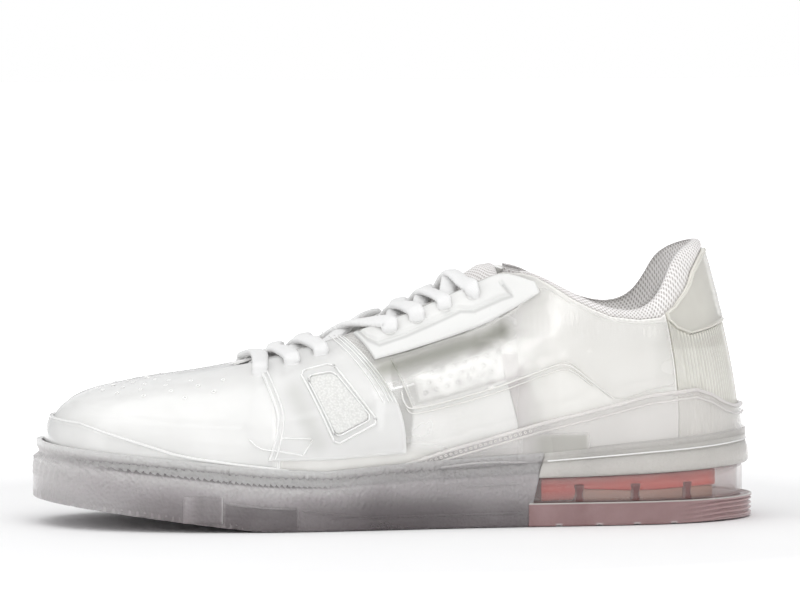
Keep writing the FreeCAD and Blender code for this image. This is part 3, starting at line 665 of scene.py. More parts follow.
def rubber(name, light, dark, alpha, rough=0.35, grain=0.25, glow=0.3, scale=700, tall=0.0, toe=0.0,
           heel=0.0):
    """Translucent moulded rubber: cloudy inside, softly grained outside. tall lightens it with height,
    and toe and heel lighten it towards the two ends. Marks on a piece add painted shade and painted light."""
    s = Shade(name, subsurface_weight=glow, subsurface_radius=(0.9, 0.8, 0.85), subsurface_scale=0.004,
              coat_weight=0.5, coat_roughness=0.12)
    cloud = s.noise(26, 4, distortion=0.6)
    place = s.node("ShaderNodeSeparateXYZ", {0: s.space.outputs["Object"]}).outputs
    shade = s.math("MULTIPLY_ADD", place["Z"], tall, cloud)
    front = s.math("MAXIMUM", s.math("MULTIPLY_ADD", place["X"], -toe, -0.105 * toe), 0.0)
    back = s.math("MAXIMUM", s.math("MULTIPLY_ADD", place["X"], heel, -0.11 * heel), 0.0)
    shade = s.math("ADD", s.math("ADD", shade, front), back)
    # painted shade where a piece is marked darker, then painted light where it is marked lighter
    painted_shade = s.node("ShaderNodeAttribute", attribute_name="shade").outputs["Fac"]
    mix = s.node("ShaderNodeMix", {0: painted_shade, 7: (*(c * 0.4 for c in dark), 1)}, data_type="RGBA")
    s.links.new(s.ramp(shade, [(0.3, dark), (1.0 if tall or heel else 0.75, light)]), mix.inputs[6])
    painted_light = s.node("ShaderNodeAttribute", attribute_name="painted_light").outputs["Fac"]
    top = s.node("ShaderNodeMix", {0: painted_light, 7: (*SOLE_PAINTED_LIGHT, 1)}, data_type="RGBA")
    s.links.new(mix.outputs[2], top.inputs[6])
    s.put("Base Color", top.outputs[2])
    s.put("Roughness", s.level(s.noise(300, 2), rough * 0.7, rough * 1.4))
    if alpha < 1:
        body = s.level(cloud, alpha - 0.08, alpha + 0.08)
        solid = s.math("ADD", s.facing(0.0, 0.6, 3.0), body)
        s.put("Alpha", s.node("ShaderNodeClamp", {"Value": solid}).outputs[0])
    s.bump(s.cells(scale), grain, 0.001)
    s.bump(s.noise(140, 2), grain * 0.7, 0.0006)
    return s.material


def leatherette(name, light, dark, rough=0.3):
    """Opaque coated synthetic with a faint grain."""
    s = Shade(name, coat_weight=0.3, coat_roughness=0.15)
    # painted shade where a piece is marked, as along the eyestay groove
    painted_shade = s.node("ShaderNodeAttribute", attribute_name="shade").outputs["Fac"]
    mix = s.node("ShaderNodeMix", {0: painted_shade, 7: (*(c * 0.5 for c in dark), 1)}, data_type="RGBA")
    s.links.new(s.ramp(s.noise(60, 3), [(0.3, dark), (0.7, light)]), mix.inputs[6])
    s.put("Base Color", mix.outputs[2])
    s.put("Roughness", s.level(s.noise(500, 2), rough * 0.75, rough * 1.3))
    s.bump(s.cells(1500, feature="SMOOTH_F1"), 0.12, 0.00015)
    s.bump(s.noise(90, 1), 0.1, 0.0008)
    return s.material


def stipple(name, light, dark):
    """Moulded rubber plate with an irregular stippled face."""
    s = Shade(name, coat_weight=0.2, coat_roughness=0.3)
    grit = s.cells(1100)
    s.put("Base Color", s.ramp(grit, [(0.1, light), (0.75, dark)]))
    s.put("Roughness", s.level(grit, 0.35, 0.6))
    s.bump(grit, 0.5, 0.0004)
    return s.material


def spacer_mesh(name, light, hole, pitch=0.0021):
    """Padded spacer mesh: a knit face with staggered open holes."""
    s = Shade(name, sheen_weight=0.25, sheen_roughness=0.5)
    reach = s.dots(pitch, pitch * 1.25)
    warp = s.math("MULTIPLY_ADD", s.noise(900, 1), 0.12, s.math("SUBTRACT", reach, 0.06))
    shade = s.noise(45, 2)
    open_share = s.ramp(warp, [(0.15, (0, 0, 0)), (0.27, (1, 1, 1))])
    yarn = s.ramp(shade, [(0.3, tuple(c * 0.93 for c in light)), (0.7, light)])
    mix = s.node("ShaderNodeMix", {0: open_share}, data_type="RGBA")
    s.links.new(yarn, mix.inputs[7])
    mix.inputs[6].default_value = (*hole, 1)
    s.put("Base Color", mix.outputs[2])
    s.put("Roughness", s.level(s.noise(800, 1), 0.7, 0.95))
    s.bump(open_share, 0.6, 0.0007)
    s.bump(s.noise(2600, 2), 0.35, 0.0002)
    return s.material


def woven(name, light, dark, pitch_x, pitch_y, rough=0.75, depth=0.0003):
    """Woven or braided textile with ribs across UV space."""
    s = Shade(name, sheen_weight=0.2, sheen_roughness=0.4)
    reach = s.dots(pitch_x, pitch_y)
    fuzz = s.math("MULTIPLY_ADD", s.noise(1800, 2), 0.25, s.math("SUBTRACT", reach, 0.12))
    s.put("Base Color", s.ramp(fuzz, [(0.12, light), (0.5, dark)]))
    s.put("Roughness", s.level(s.noise(600, 1), rough * 0.85, min(1.0, rough * 1.2)))
    s.bump(s.math("MULTIPLY", fuzz, -1.0), 0.6, depth)
    s.bump(s.noise(2400, 2), 0.25, 0.0002)
    return s.material


def foam(name, light, dark, rough=0.5):
    """Cast cushioning with cloudy colour and small cells."""
    s = Shade(name, subsurface_weight=0.3, subsurface_radius=(1.0, 0.5, 0.4), subsurface_scale=0.004)
    s.put("Base Color", s.ramp(s.noise(50, 3, distortion=0.5), [(0.3, dark), (0.7, light)]))
    s.put("Roughness", s.level(s.noise(400, 2), rough * 0.8, rough * 1.2))
    s.bump(s.cells(900), 0.25, 0.0003)
    return s.material


def floor_material():
    """White paper that runs into a lit backdrop away from the shoe."""
    s = Shade("floor_paper", specular_ior_level=0.2, emission_color=(1, 1, 1, 1))
    s.put("Base Color", s.ramp(s.noise(6, 3), [(0.3, (0.93, 0.93, 0.93)), (0.7, (0.95, 0.95, 0.95))]))
    s.put("Roughness", s.level(s.noise(40, 2), 0.6, 0.8))
    s.bump(s.noise(900, 2), 0.05, 0.0003)
    away = s.node("ShaderNodeVectorMath", {0: s.space.outputs["Object"]}, operation="LENGTH")
    glow = s.node("ShaderNodeMapRange", {0: away.outputs["Value"], 1: 0.22, 2: 0.7, 3: 0.0, 4: 1.0})
    s.put("Emission Strength", glow.outputs[0])
    return s.material


MATERIALS = {
    "upper_clear": film("upper_film", (0.94, 0.93, 0.90), (0.88, 0.87, 0.83), 0.26),
    "toe_clear": film("toe_film", (1.0, 1.0, 0.985), (0.98, 0.98, 0.965), 0.6, wave=0.3),
    "overlay_clear": film("overlay_film", (0.99, 0.99, 0.98), (0.96, 0.96, 0.945), 0.48, wave=0.15),
    "quarter_clear": film("quarter_film", (0.96, 0.95, 0.92), (0.91, 0.90, 0.87), 0.14, wave=0.15),
    "counter_clear": film("counter_film", (0.84, 0.825, 0.76), (0.74, 0.725, 0.66), 0.5, rough=0.2),
    "cup_clear": film("cup_rubber", (0.90, 0.87, 0.85), (0.80, 0.77, 0.76), 0.22, rough=0.25, fine=0.2),
    "sole_clear": rubber("sole_rubber", (0.60, 0.57, 0.575), (0.205, 0.165, 0.175), 0.62, grain=0.7,
                         tall=30.0, toe=14.0),
    "flange_clear": rubber("flange_rubber", (0.74, 0.71, 0.67), (0.58, 0.555, 0.53), 0.7, grain=0.3),
    "sole_tinted": rubber("heel_rubber", (0.42, 0.29, 0.29), (0.185, 0.085, 0.085), 0.94, grain=0.15,
                          heel=16.0),
    "sole_core": rubber("core_rubber", (0.34, 0.31, 0.34), (0.18, 0.155, 0.19), 1.0, glow=0.2),
    "air_clear": film("air_film", (0.62, 0.50, 0.48), (0.54, 0.42, 0.40), 0.05, haze=0.02,
                      wave=0.1),
    "cushion_foam": foam("cushion_foam", (0.70, 0.075, 0.04), (0.54, 0.05, 0.03)),
    "cushion_post": foam("cushion_post", (0.24, 0.085, 0.08), (0.15, 0.05, 0.05)),
    "cushion_light": foam("cushion_light", (0.53, 0.29, 0.19), (0.41, 0.21, 0.14)),
    "board": woven("board_cloth", (0.80, 0.80, 0.78), (0.66, 0.66, 0.64), 0.0011, 0.0011),
    "sockliner": spacer_mesh("sockliner_knit", (0.82, 0.82, 0.80), (0.56, 0.55, 0.54), 0.0017),
    "mesh_lining": spacer_mesh("lining_mesh", (0.88, 0.86, 0.85), (0.50, 0.47, 0.45), 0.0017),
    "lace_cord": woven("lace_weave", (0.85, 0.85, 0.845), (0.70, 0.70, 0.695), 0.0008, 0.0012),
    "aglet_tip": film("aglet_film", (0.93, 0.93, 0.93), (0.85, 0.85, 0.85), 0.5),
    "badge_rubber": stipple("badge_stipple", (0.80, 0.80, 0.78), (0.66, 0.66, 0.64)),
    "eyestay_white": leatherette("eyestay_coat", (0.74, 0.74, 0.725), (0.70, 0.70, 0.685)),
    "inner_white": leatherette("inner_coat", (0.95, 0.95, 0.95), (0.90, 0.90, 0.90), 0.5),
    "hole_shade_rim": leatherette("hole_shade_rim", (0.30, 0.30, 0.31), (0.22, 0.22, 0.23)),
    "inner_webbing": woven("inner_webbing", (0.55, 0.49, 0.50), (0.42, 0.37, 0.38), 0.0012, 0.0009),
}


def finish_of(slot):
    return MATERIALS[slot]


def dress_frame():
    """Every CAD node takes its slot's material; the replaced ones aren't shown."""
    for part in frame["record"]["subparts"]:
        node = frame["nodes"][part["node"]]
        node.data.materials.clear()
        node.data.materials.append(finish_of(part["material_slot"]))


# --- sole ------------------------------------------------------------------------------------
def pebble(points, amplitude):
    """Small moulded unevenness of the sole wall."""
    x, y, z = points[..., 0], points[..., 1], points[..., 2]
    a = np.sin(2.3 * x + 1.1 * z) * np.sin(2.9 * z - 0.7 * y + 0.6)
    b = np.sin(1.7 * y + 2.6 * z + 1.2) * np.sin(2.1 * x - 1.3 * y)
    return amplitude * (a + b) / 2


def wall_point(p, out, share, bottom, rim_cut):
    """Point of a sole wall: out from the foot of the upper, share of the way up to the ledge."""
    t = line_level(SOLE_TOP, p)
    low = plan(p, out, 0.0)
    low[..., 2] = bottom(low[..., 0])
    high = on_skin(p, t, out - rim_cut)
    return low + (high - low) * np.asarray(share)[..., None]


def wall_part(p_low, p_high, profile, bottom, columns, relief=None):
    """Wall swept round the sole. A profile row is (share of height, outset from the widest line)
    and inner corners are given by None."""
    share_p = np.linspace(-1, 1, columns)
    rings = []
    for share, back in profile:
        end = p_low + (p_high - p_low) * min(max(share, 0.0), 1.0)
        p = end[0] + (end[1] - end[0]) * (share_p + 1) / 2
        out = np.full(columns, WALL_INNER) if back is None else sole_outset(p) - back
        point = wall_point(p, out, np.full(columns, share), bottom, 0.0 if back is None else 0.8)
        if relief is not None and back is not None:
            run = wall_point(p, out + 1, np.full(columns, share), bottom, 0.8) - point
            point = point + unit(run) * relief(point, share)[..., None]
        rings.append(point)
    return loft(np.stack(rings, axis=1))


SIDEWALL_PROFILE = [
    (1.0, None), (1.0, 3.6), (1.0, 2.6), (1.01, 1.8), (1.015, 1.2), (1.0, 0.8), (0.98, 0.85),
    (0.95, 0.95), (0.9, 1.2), (0.86, 1.7), (0.83, 2.2), (0.79, 2.2), (0.75, 1.9), (0.725, 1.2), (0.7, 0.4),
    (0.68, 0.2), (0.66, 0.1), (0.64, 0.05), (0.59, 0.0), (0.53, 0.0), (0.47, 0.05), (0.42, 0.1),
    (0.36, 0.12), (0.3, 0.15), (0.24, 0.17), (0.18, 0.18), (0.13, 0.18), (0.08, 0.2), (0.04, 0.22),
    (0.01, 0.3), (0.0, 0.45), (0.0, 0.56), (0.2, 0.56), (0.2, None),
]
TOOTH_PITCH = 2.3


def teeth(x, y):
    """Saw wave from 0 to 1 round the toe."""
    return np.abs(((x + 0.6 * y) / TOOTH_PITCH) % 1.0 - 0.5) * 2


def eased(value, start, end):
    """0 before start, 1 after end, smooth between."""
    f = np.clip((value - start) / (end - start), 0, 1)
    return f * f * (3 - 2 * f)


def sole_shade(at):
    """Painted shade on the sole wall: the groove behind the teeth, the windows, the arch and the lower tread, and
    a darkening towards the heel.
    """
    x, y, z = at[:, 0], at[:, 1], at[:, 2]
    share = (z - ground(x)) / (along(SOLE_TOP, x) - ground(x))
    ragged = share + 0.03 * teeth(x, y)
    groove = eased(ragged, 0.71, 0.74) * (1 - eased(share, 0.82, 0.89))
    groove = groove * eased(x, -132, -112) * (1 - eased(x, -52, -22))
    darker_to_heel = 0.2 * eased(x, -70, 10)
    window = (1 - eased(share, 0.36, 0.38)) * eased(x, -77, -76.4) * (1 - eased(x, -47.6, -47))
    arch = (1 - eased(share, 0.3, 0.75)) * eased(x, -50, -10) * (1 - eased(x, 5, 35))
    tread = (1 - eased(share, 0.25, 0.6)) * eased(x, -140, -110)
    return np.clip(darker_to_heel + 0.8 * groove + 0.35 * window + 0.3 * arch + 0.3 * tread, 0, 1)


def sole_painted_light(at):
    """Painted highlight on the sole wall: the top ledge and the band under the groove; it also lightens the toe
    end.
    """
    x, z = at[:, 0], at[:, 2]
    share = (z - ground(x)) / (along(SOLE_TOP, x) - ground(x))
    ledge = 0.8 * eased(share, 0.87, 0.93) * (1 - 0.6 * eased(x, -50, 0))
    band = 0.3 * np.exp(-(((share - 0.65) / 0.07) ** 2)) * (1 - eased(x, -40, 0))
    front = 0.45 * (1 - eased(x, -150, -128)) * eased(share, 0.1, 0.5)
    return np.clip(ledge + band + front, 0, 1)


def make_sidewall():
    """Clear cupsole wall: a lip, a groove under it, then a pebbled belly with a serrated start."""
    def relief(points, share):
        x, y = points[..., 0], points[..., 1]
        front = np.clip((40 - x) / 50, 0, 1)
        lift = pebble(points, 0.6) * front * (0.4 < share < 0.95)
        if 0.69 < share < 0.76:
            lift = lift + 1.2 * (teeth(x, y) - 0.5) * np.clip((-20 - x) / 30, 0, 1)
        if share < 0.1:
            lift = lift + 0.5 * (teeth(x, y) - 1.0) * np.clip((-62 - x) / 10, 0, 1)
        return lift
    ends_low = np.array([-1, 1]) * station_at(HEEL_START - 0.4)
    ends_high = np.array([-1, 1]) * station_at(HEEL_START + 6.6)
    wall = wall_part(ends_low, ends_high, SIDEWALL_PROFILE, wall_foot, 760, relief)
    parts = [wall]
    for side in (LATERAL, MEDIAL):
        for line in ([(-76, 0.4), (-62, 0.38), (-47, 0.36)],
                     [(-47, 0.05), (-47.2, 0.36)],
                     [(-46, 0.35), (-30, 0.26), (-18, 0.2)],
                     [(-18, 0.2), (10, 0.19), (48, 0.19)],
                     [(12, 0.91), (30, 0.94), (50, 0.9)],
                     [(20, 0.62), (34, 0.6), (46, 0.6)]):
            parts.append(wall_line(side, line, 0.05))
    obj = piece("sidewall_moulding", parts, finish_of("sole_clear"), nodes=["sidewall"])
    # painted highlight and painted shade on the wall
    mark(obj, "painted_light", sole_painted_light)
    return mark(obj, "shade", sole_shade)


def wall_foot(x):
    return ground(x) + 0.1


def wall_line(side, line, back, width=0.9):
    """Thin raised line on the sole wall through (x, share of height) points."""
    at = smooth_line(line, 40)
    stations = np.array([station_at(x) for x in at[:, 0]])
    p = stations if side == LATERAL else -stations
    path = wall_point(p, sole_outset(p) - back, at[:, 1], wall_foot, 0.8)
    out = wall_point(p, sole_outset(p) - back + 1, at[:, 1], wall_foot, 0.8) - path
    return tube(path, unit(out), width, 0.6, sides=8, taper=end_taper(len(path)))


FLANGE_PROFILE = [
    (1.0, None), (1.0, 4.2), (1.03, 3.6), (1.04, 3.0), (1.0, 2.5), (0.95, 2.6), (0.9, 2.4), (0.87, 1.7),
    (0.82, 1.4), (0.76, 1.4), (0.7, 1.6), (0.65, 2.0), (0.6, 1.7), (0.5, 1.3), (0.38, 1.0), (0.26, 0.9),
    (0.15, 1.0), (0.06, 1.3), (0.0, 2.0), (0.0, None),
]


def make_heel_flange():
    """Stabiliser over the air window with a double lip."""
    p_low = np.array([station_at(HEEL_START + 4), TURN - station_at(HEEL_START + 4)])
    p_high = np.array([station_at(HEEL_START + 7.2), TURN - station_at(HEEL_START + 7.2)])
    wall = wall_part(p_low, p_high, FLANGE_PROFILE, lambda x: air_top(x) + GAP, 320,
                     lambda points, share: pebble(points, 0.06))
    p = np.linspace(p_high[0] + 0.05, p_high[1] - 0.05, 300)
    # two raised film beads along the lips; their light colour is a painted highlight
    for number, (share, back) in enumerate(((0.68, 1.7), (0.95, 2.4))):
        path = wall_point(p, sole_outset(p) - back, np.full(p.shape, share), lambda x: air_top(x) + GAP, 0.8)
        upright = np.tile([0.0, 0.0, 1.0], (len(path), 1))
        piece(f"heel_flange_highlight_line_{number}", tube(path, upright, 0.7, 0.7, 8, taper=end_taper(len(path))),
              finish_of("overlay_clear"))
    return piece("heel_flange_moulding", wall, finish_of("flange_clear"), nodes=["heel_flange"])


def make_sole_insert(name, side):
    """Clear block let flush into the edge of the sole, with a raised frame."""
    start, end = station_at(-92.5), station_at(-77)
    tall = 11.0
    u, v = edge_steps(24, 15.5, 0.6), edge_steps(18, tall, 0.6)
    p = start + (end - start) * u
    p = p if side == LATERAL else -p
    rounding = np.minimum(edge_round(u, 15.5)[:, None], edge_round(v, tall)[None, :])
    from_edge = np.minimum(np.minimum(u, 1 - u)[:, None] * 15.5, np.minimum(v, 1 - v)[None, :] * tall)
    frame_lift = np.exp(-(((from_edge - 0.8) / 0.5) ** 2))
    grid = np.zeros(rounding.shape + (3,))
    back = np.zeros(rounding.shape + (3,))
    for j, share in enumerate(v):
        z = ground(-85) + 0.8 + tall * share
        inner = sole_outset(p) - 0.5
        grid[:, j] = plan(p, inner + 0.7 * rounding[:, j] + 0.35 * frame_lift[:, j], z)
        back[:, j] = plan(p, inner, z)
    obj = piece("sole_block_" + name, slab(grid, back), finish_of("sole_clear"),
                nodes=["sole_insert_" + name])
    # painted highlight along the block's back edge, painted shade over the rest of it
    mark(obj, "painted_light", lambda at: 0.7 * eased(at[:, 0], -78.4, -77.8))
    return mark(obj, "shade", lambda at: 0.4 * eased(at[:, 0], -93, -86) * (1 - eased(at[:, 0], -78.6, -78)))


def footprint_block(outset, start, end, low, high, columns=60, rows=36):
    """Block across the whole footprint between two x, with rounded borders."""
    x, y, v = footprint_grid(outset, columns, rows, start, end)
    u = (x[:, :1] - start) / (end - start)
    rounding = np.minimum(edge_round(v, 60.0, 1.0)[None, :], edge_round(u, end - start, 1.0))
    middle, half = (high(x) + low(x)) / 2, (high(x) - low(x)) / 2
    tall = half * (0.75 + 0.25 * rounding)
    return slab(np.stack([x, y, middle + tall], -1), np.stack([x, y, middle - tall], -1))


def make_air_wall():
    """Clear wall of the air window, rounded where it meets the plates above and below."""
    start = station_at(HEEL_START + 2.2)
    p = np.linspace(start, TURN - start, 300)
    rings = []
    for share, back in ((0.0, 4.6), (0.03, 4.2), (0.12, 4.0), (0.5, 3.9), (0.88, 4.0), (0.97, 4.2),
                        (1.0, 4.6), (1.0, 5.7), (0.97, 6.0), (0.5, 6.1), (0.03, 6.0), (0.0, 5.7)):
        point = plan(p, sole_outset(p) - back, 0.0)
        point[:, 2] = 9.4 + (air_top(point[:, 0]) - 9.4) * share
        rings.append(point)
    obj = piece("air_window", loft(np.stack(rings, axis=1)), finish_of("air_clear"), nodes=["air_unit"])
    return mark(obj, "haze", lambda at: 0.16 * eased(at[:, 0], 128, 134))


def make_cushion():
    """Foam in the air window: one coral bed on lighter blocks, with dark pillars between them."""
    floor_z = 9.5
    shelf = 14.0
    bed = footprint_block(-1.2, 56.5, 132.0, lambda x: shelf + 0.5 * np.sin(x / 9.0) - 4.4 * (x < 70),
                          lambda x: air_top(x) - 0.5)
    piece("cushion_bed", bed, finish_of("cushion_foam"), nodes=["cushion_core"])
    blocks = [footprint_block(-2.2, start, end, lambda x: floor_z + 0 * x, lambda x: shelf + 0.4 + 0 * x)
              for start, end in ((73.6, 95.3), (97.7, 118.3), (120.8, 131.0))]
    piece("cushion_blocks", blocks, finish_of("cushion_light"))
    pillars = []
    for x in (72.5, 96.5, 119.5):
        for side in (LATERAL, MEDIAL):
            p = station_at(x)
            foot = plan(p if side == LATERAL else TURN - p, -2.0, floor_z)
            heights = np.array([0.0, 0.1, 1.0, 2.4, 4.4, 6.0, 6.9, 7.0])
            widths = np.array([0.85, 1.0, 0.95, 0.8, 0.85, 1.0, 1.0, 0.85])
            path = foot + heights[:, None] * np.array([0.0, 0.0, 1.0])
            pillars.append(tube(path, np.tile([1.0, 0.0, 0.0], (len(path), 1)), 4.4, 4.4, 16, taper=widths))
    piece("cushion_pillars", pillars, finish_of("cushion_post"), nodes=["cushion_posts"])


def make_heel_tread():
    """Tinted heel tread: a lighter bead on top as painted highlight, small notches below painted light, curved
    ridges at the back.
    """
    core = footprint_block(3.6, HEEL_START + 0.4, 149.4, lambda x: 0.1 + 0 * x, lambda x: 9.1 + 0 * x)
    start = station_at(HEEL_START)
    p = np.linspace(start, TURN - start, 620)
    rings = []
    steps = [(0.0, -2.6), (0.0, -0.4), (0.04, -0.1)] + [(s, 0.0) for s in np.linspace(0.08, 0.9, 34)]
    steps += [(0.93, 0.1), (0.97, 0.15), (1.0, 0.0), (1.0, -0.4), (1.0, -2.6)]
    for share, lift in steps:
        foot = plan(p, sole_outset(p), 0.0)
        x = foot[:, 0]
        back = np.clip((x - 112) / 22, 0, 1)
        wave = np.cos(2 * math.pi * (share * 4.6 - 0.9 * back + 0.25))
        ridge = 0.6 * (wave - 1.0) * back if 0.05 < share < 0.92 else 0.0
        notch = sum(np.exp(-(((x - at) / 1.2) ** 4)) for at in (63.0, 80.0, 96.0, 112.0))
        point = plan(p, sole_outset(p) + lift + ridge, 0.0)
        rise = 9.2 * share + 0.35 * notch * (share < 0.05) + 0.4 * back * (1 - share)
        point[:, 2] = rise
        rings.append(point)
    # lighter bead along the top edge: painted highlight
    path = plan(p, sole_outset(p) - 0.3, 0.0)
    path[:, 2] = 9.3
    upright = np.tile([0.0, 0.0, 1.0], (len(path), 1))
    piece("heel_tread_highlight_bead", tube(path, upright, 0.9, 0.7, 8, taper=end_taper(len(path))),
          finish_of("flange_clear"))
    obj = piece("heel_tread", [core, loft(np.stack(rings, axis=1))], finish_of("sole_tinted"),
                nodes=["heel_outsole"])

    # painted light on the notches near the bottom
    def notches(at):
        near = sum(np.exp(-(((at[:, 0] - x) / 1.4) ** 4)) for x in (63.0, 80.0, 96.0, 112.0))
        return 0.5 * near * (1 - eased(at[:, 2], 0.6, 1.4))
    return mark(obj, "painted_light", notches)


# --- upper -----------------------------------------------------------------------------------
def zero(p):
    return np.zeros(np.shape(p))


def arc_length(t=0.6):
    """Stations and the length run along the skin to each, for patterns with a real pitch."""
    p = np.linspace(0, TURN, 1200)
    steps = np.linalg.norm(np.diff(skin(p, t), axis=0), axis=1)
    return p, np.concatenate([[0], np.cumsum(steps)])


ARC_STATIONS, ARC_RUN = arc_length()
SEAM_ROLL = 0.15  # rounding of butted film edges


def make_toe_box():
    def relief(base, p, t):
        crease = near_line(base, [(-140, 50), (-118, 46), (-96, 44), (-70, 43)], 1.6)
        return ripple(base, 0.3, 30) - 0.25 * crease
    shell = band(-TOE_SEAM, TOE_SEAM, zero, lambda p: np.full(np.shape(p), 0.995), 0, SHELL, 170, 70, relief,
                 SEAM_ROLL)
    parts = [shell]
    for row, t in enumerate((0.53, 0.6, 0.67, 0.74)):
        for i in range(9):
            p = (i - 4 + 0.5 * (row % 2)) * 0.92
            if abs(p) < TOE_SEAM - 0.4:
                parts.append(rim_at(np.array([p]), np.array([t]), SHELL + 0.1, 0.75))
    t = np.linspace(0.03, 0.97, 60)
    for p in (-TOE_SEAM, TOE_SEAM):
        parts.append(skin_bead(np.full(t.shape, p), t, SHELL, 1.5, 0.5))
    return piece("toe_box_shell", parts, finish_of("toe_clear"), nodes=["toe_box"])


def throat_shade(at):
    """Painted shade: 1 in the band under the eyestay, where nothing lines the film and the shaded inside shows
    through.
    """
    return near_line(at, [(-9, 65.5), (10, 70.5), (31, 76.5), (40, 80.5)], 7.0)


def make_quarter(name, side):
    start, end = TOE_SEAM + 0.02, HEEL_SEAM - 0.02
    if side == MEDIAL:
        start, end = TURN - end, TURN - start

    def relief(base, p, t):
        x, z = base[..., 0], base[..., 2]
        crinkle = np.exp(-(((x - 80) / 22) ** 2) - ((z - 82) / 6) ** 2)
        return ripple(base, 0.3) + 0.12 * crinkle * np.sin(2 * math.pi * x / 2.3)
    shell = band(start, end, zero, shell_edge, 0, SHELL, 210, 90, relief, SEAM_ROLL)
    obj = piece("quarter_shell_" + name, shell, finish_of("upper_clear"), nodes=["quarter_" + name])
    # milky towards the back and near the bottom at the front; under the eyestay the extra body carries the
    # painted shade
    mark(obj, "haze", lambda at: 0.42 * np.clip((at[:, 0] - 46) / 18, 0, 1) + 0.4 * throat_shade(at)
         + 0.5 * (1 - eased(at[:, 2], 29, 35)) * (1 - eased(at[:, 0], 0, 20)))
    return mark(obj, "shade", throat_shade)


def make_heel_counter():
    start = HEEL_SEAM + 0.02

    def relief(base, p, t):
        run = np.interp(p, ARC_STATIONS, ARC_RUN)
        fade = np.clip((np.minimum(p, TURN - p) - HEEL_SEAM) / 0.4, 0, 1)
        return 0.15 * fade * np.clip((3.4 - np.minimum(p, TURN - p) + HEEL_SEAM) / 1.5, 0, 1) * np.cos(2 * math.pi * run / 1.7)
    shell = band(start, TURN - start, zero, lambda p: line_level(TAB_BASE, p, -0.1), 0, SHELL, 460, 40,
                 relief, SEAM_ROLL)
    return piece("heel_counter_ribs", shell, finish_of("counter_clear"), nodes=["heel_counter"])


def make_heel_tab():
    start = HEEL_SEAM + 0.02
    shell = band(start, TURN - start, lambda p: line_level(TAB_BASE, p, 0.1), shell_edge, 0, SHELL + 0.6,
                 150, 36, lambda base, p, t: ripple(base, 0.1, 18))
    p = np.linspace(start + 0.05, TURN - start - 0.05, 120)
    weld = skin_bead(p, line_level(TAB_BASE, p, 0.7), SHELL + 0.6, 0.9, 0.8)
    rim = skin_bead(p, shell_edge(p) - 0.01, SHELL + 0.5, 1.0, 0.9)
    return piece("heel_tab_shell", [shell, weld, rim], finish_of("counter_clear"), nodes=["heel_tab"])


def make_toe_rand():
    end = station_at(-37)
    rand = band(-end, end, zero, lambda p: line_level(RAND_TOP, p), OVER, OVER + OVERLAY, 260, 16)
    p = np.linspace(-end + 0.1, end - 0.1, 240)
    lip = skin_bead(p, line_level(RAND_TOP, p, -0.6), OVER + OVERLAY, 1.0, 0.8)
    return piece("toe_rand_overlay", [rand, lip], finish_of("overlay_clear"), nodes=["toe_rand"])


STRAP_FRONT = [(-58.7, 29), (-56.3, 36), (-54.8, 43), (-55, 49), (-57.3, 57), (-59.5, 65.4)]
STRAP_BACK = [(-1, 31), (-1.5, 41), (-4, 51), (-9, 60), (-16, 69.5), (-22.5, 76)]


def shifted(line, dx, dz=0.0):
    return [(x + dx, z + dz) for x, z in line]


def make_strap(name, side):
    """Forefoot strap with welded double edges and an embossed point low at the front."""
    top = OVER + OVERLAY
    strap = panel(side, STRAP_FRONT, STRAP_BACK, OVER, top, 70, 60,
                  lambda base, p, t: ripple(base, 0.25, 34))
    parts = [strap]
    for dx in (0.5, 2.6):
        parts.append(bead(side, shifted(STRAP_FRONT, dx), top, 0.8, 0.8))
    for dx in (-0.6, -2.0, -3.6, -6.0):
        parts.append(bead(side, shifted(STRAP_BACK[2:], dx), top, 0.6, 0.7))
    hook = [(-66.5, 37.5), (-62, 34.0), (-54, 32.6), (-44.5, 31.0)]
    arm = [(-44.5, 31.0), (-42.3, 34.2), (-40.3, 37.3)]
    top_line = [(-40.3, 37.3), (-47, 37.6), (-53.5, 37.8)]
    for line in (hook, arm, top_line):
        parts.append(bead(side, line, top, 0.7, 0.7, spacing=0.6))
    obj = piece("strap_overlay_" + name, parts, finish_of("overlay_clear"), nodes=["strap_" + name])
    # painted shade in two soft patches on the strap
    return mark(obj, "shade", lambda at: 0.25 * near_line(at, [(-47, 56), (-41, 44), (-38, 36)], 7.0)
                + 0.3 * near_line(at, [(-14, 66), (-8, 58)], 5.0))


BADGE = [(-31, 34.5), (-12.5, 43.5), (-29.5, 66), (-43.5, 62.5)]


def inset(corners, amount):
    centre = np.mean(np.asarray(corners, float), axis=0)
    return [tuple(centre + (np.array(c) - centre) * (1 - amount / np.linalg.norm(np.array(c) - centre)))
            for c in corners]


def make_badge(name, side):
    """Strap badge: a double moulded frame round a blank stippled plate."""
    base = OVER + OVERLAY + 0.1
    frame_parts = []
    for amount, width in ((0.3, 0.9), (3.2, 0.8)):
        outline = rounded_outline(inset(BADGE, amount), 3.0)
        frame_parts.append(bead(side, outline, base + 0.2, width, 0.9, closed=True, spacing=0.9))
    piece("badge_rim_" + name, frame_parts, finish_of("overlay_clear"), nodes=["badge_frame_" + name])
    outline = rounded_outline(inset(BADGE, 4.0), 2.6, per_corner=10)
    outline = resample(outline, 90, closed=True)
    plate = patch(side, outline, base, base + 0.5, rings=16,
                  relief=lambda at: 0.07 * np.sin(5.1 * at[..., 0]) * np.sin(4.7 * at[..., 2]))
    piece("badge_face_" + name, plate, finish_of("badge_rubber"), nodes=["badge_plate_" + name])


EYESTAY_LOW = [(-12, 68), (6, 73), (31, 81.5), (45, 88.5), (57, 95.2)]
EYESTAY_HIGH = [(-18.5, 77.3), (6, 86.2), (30, 97.2), (43, 102.5), (55.5, 99.6)]


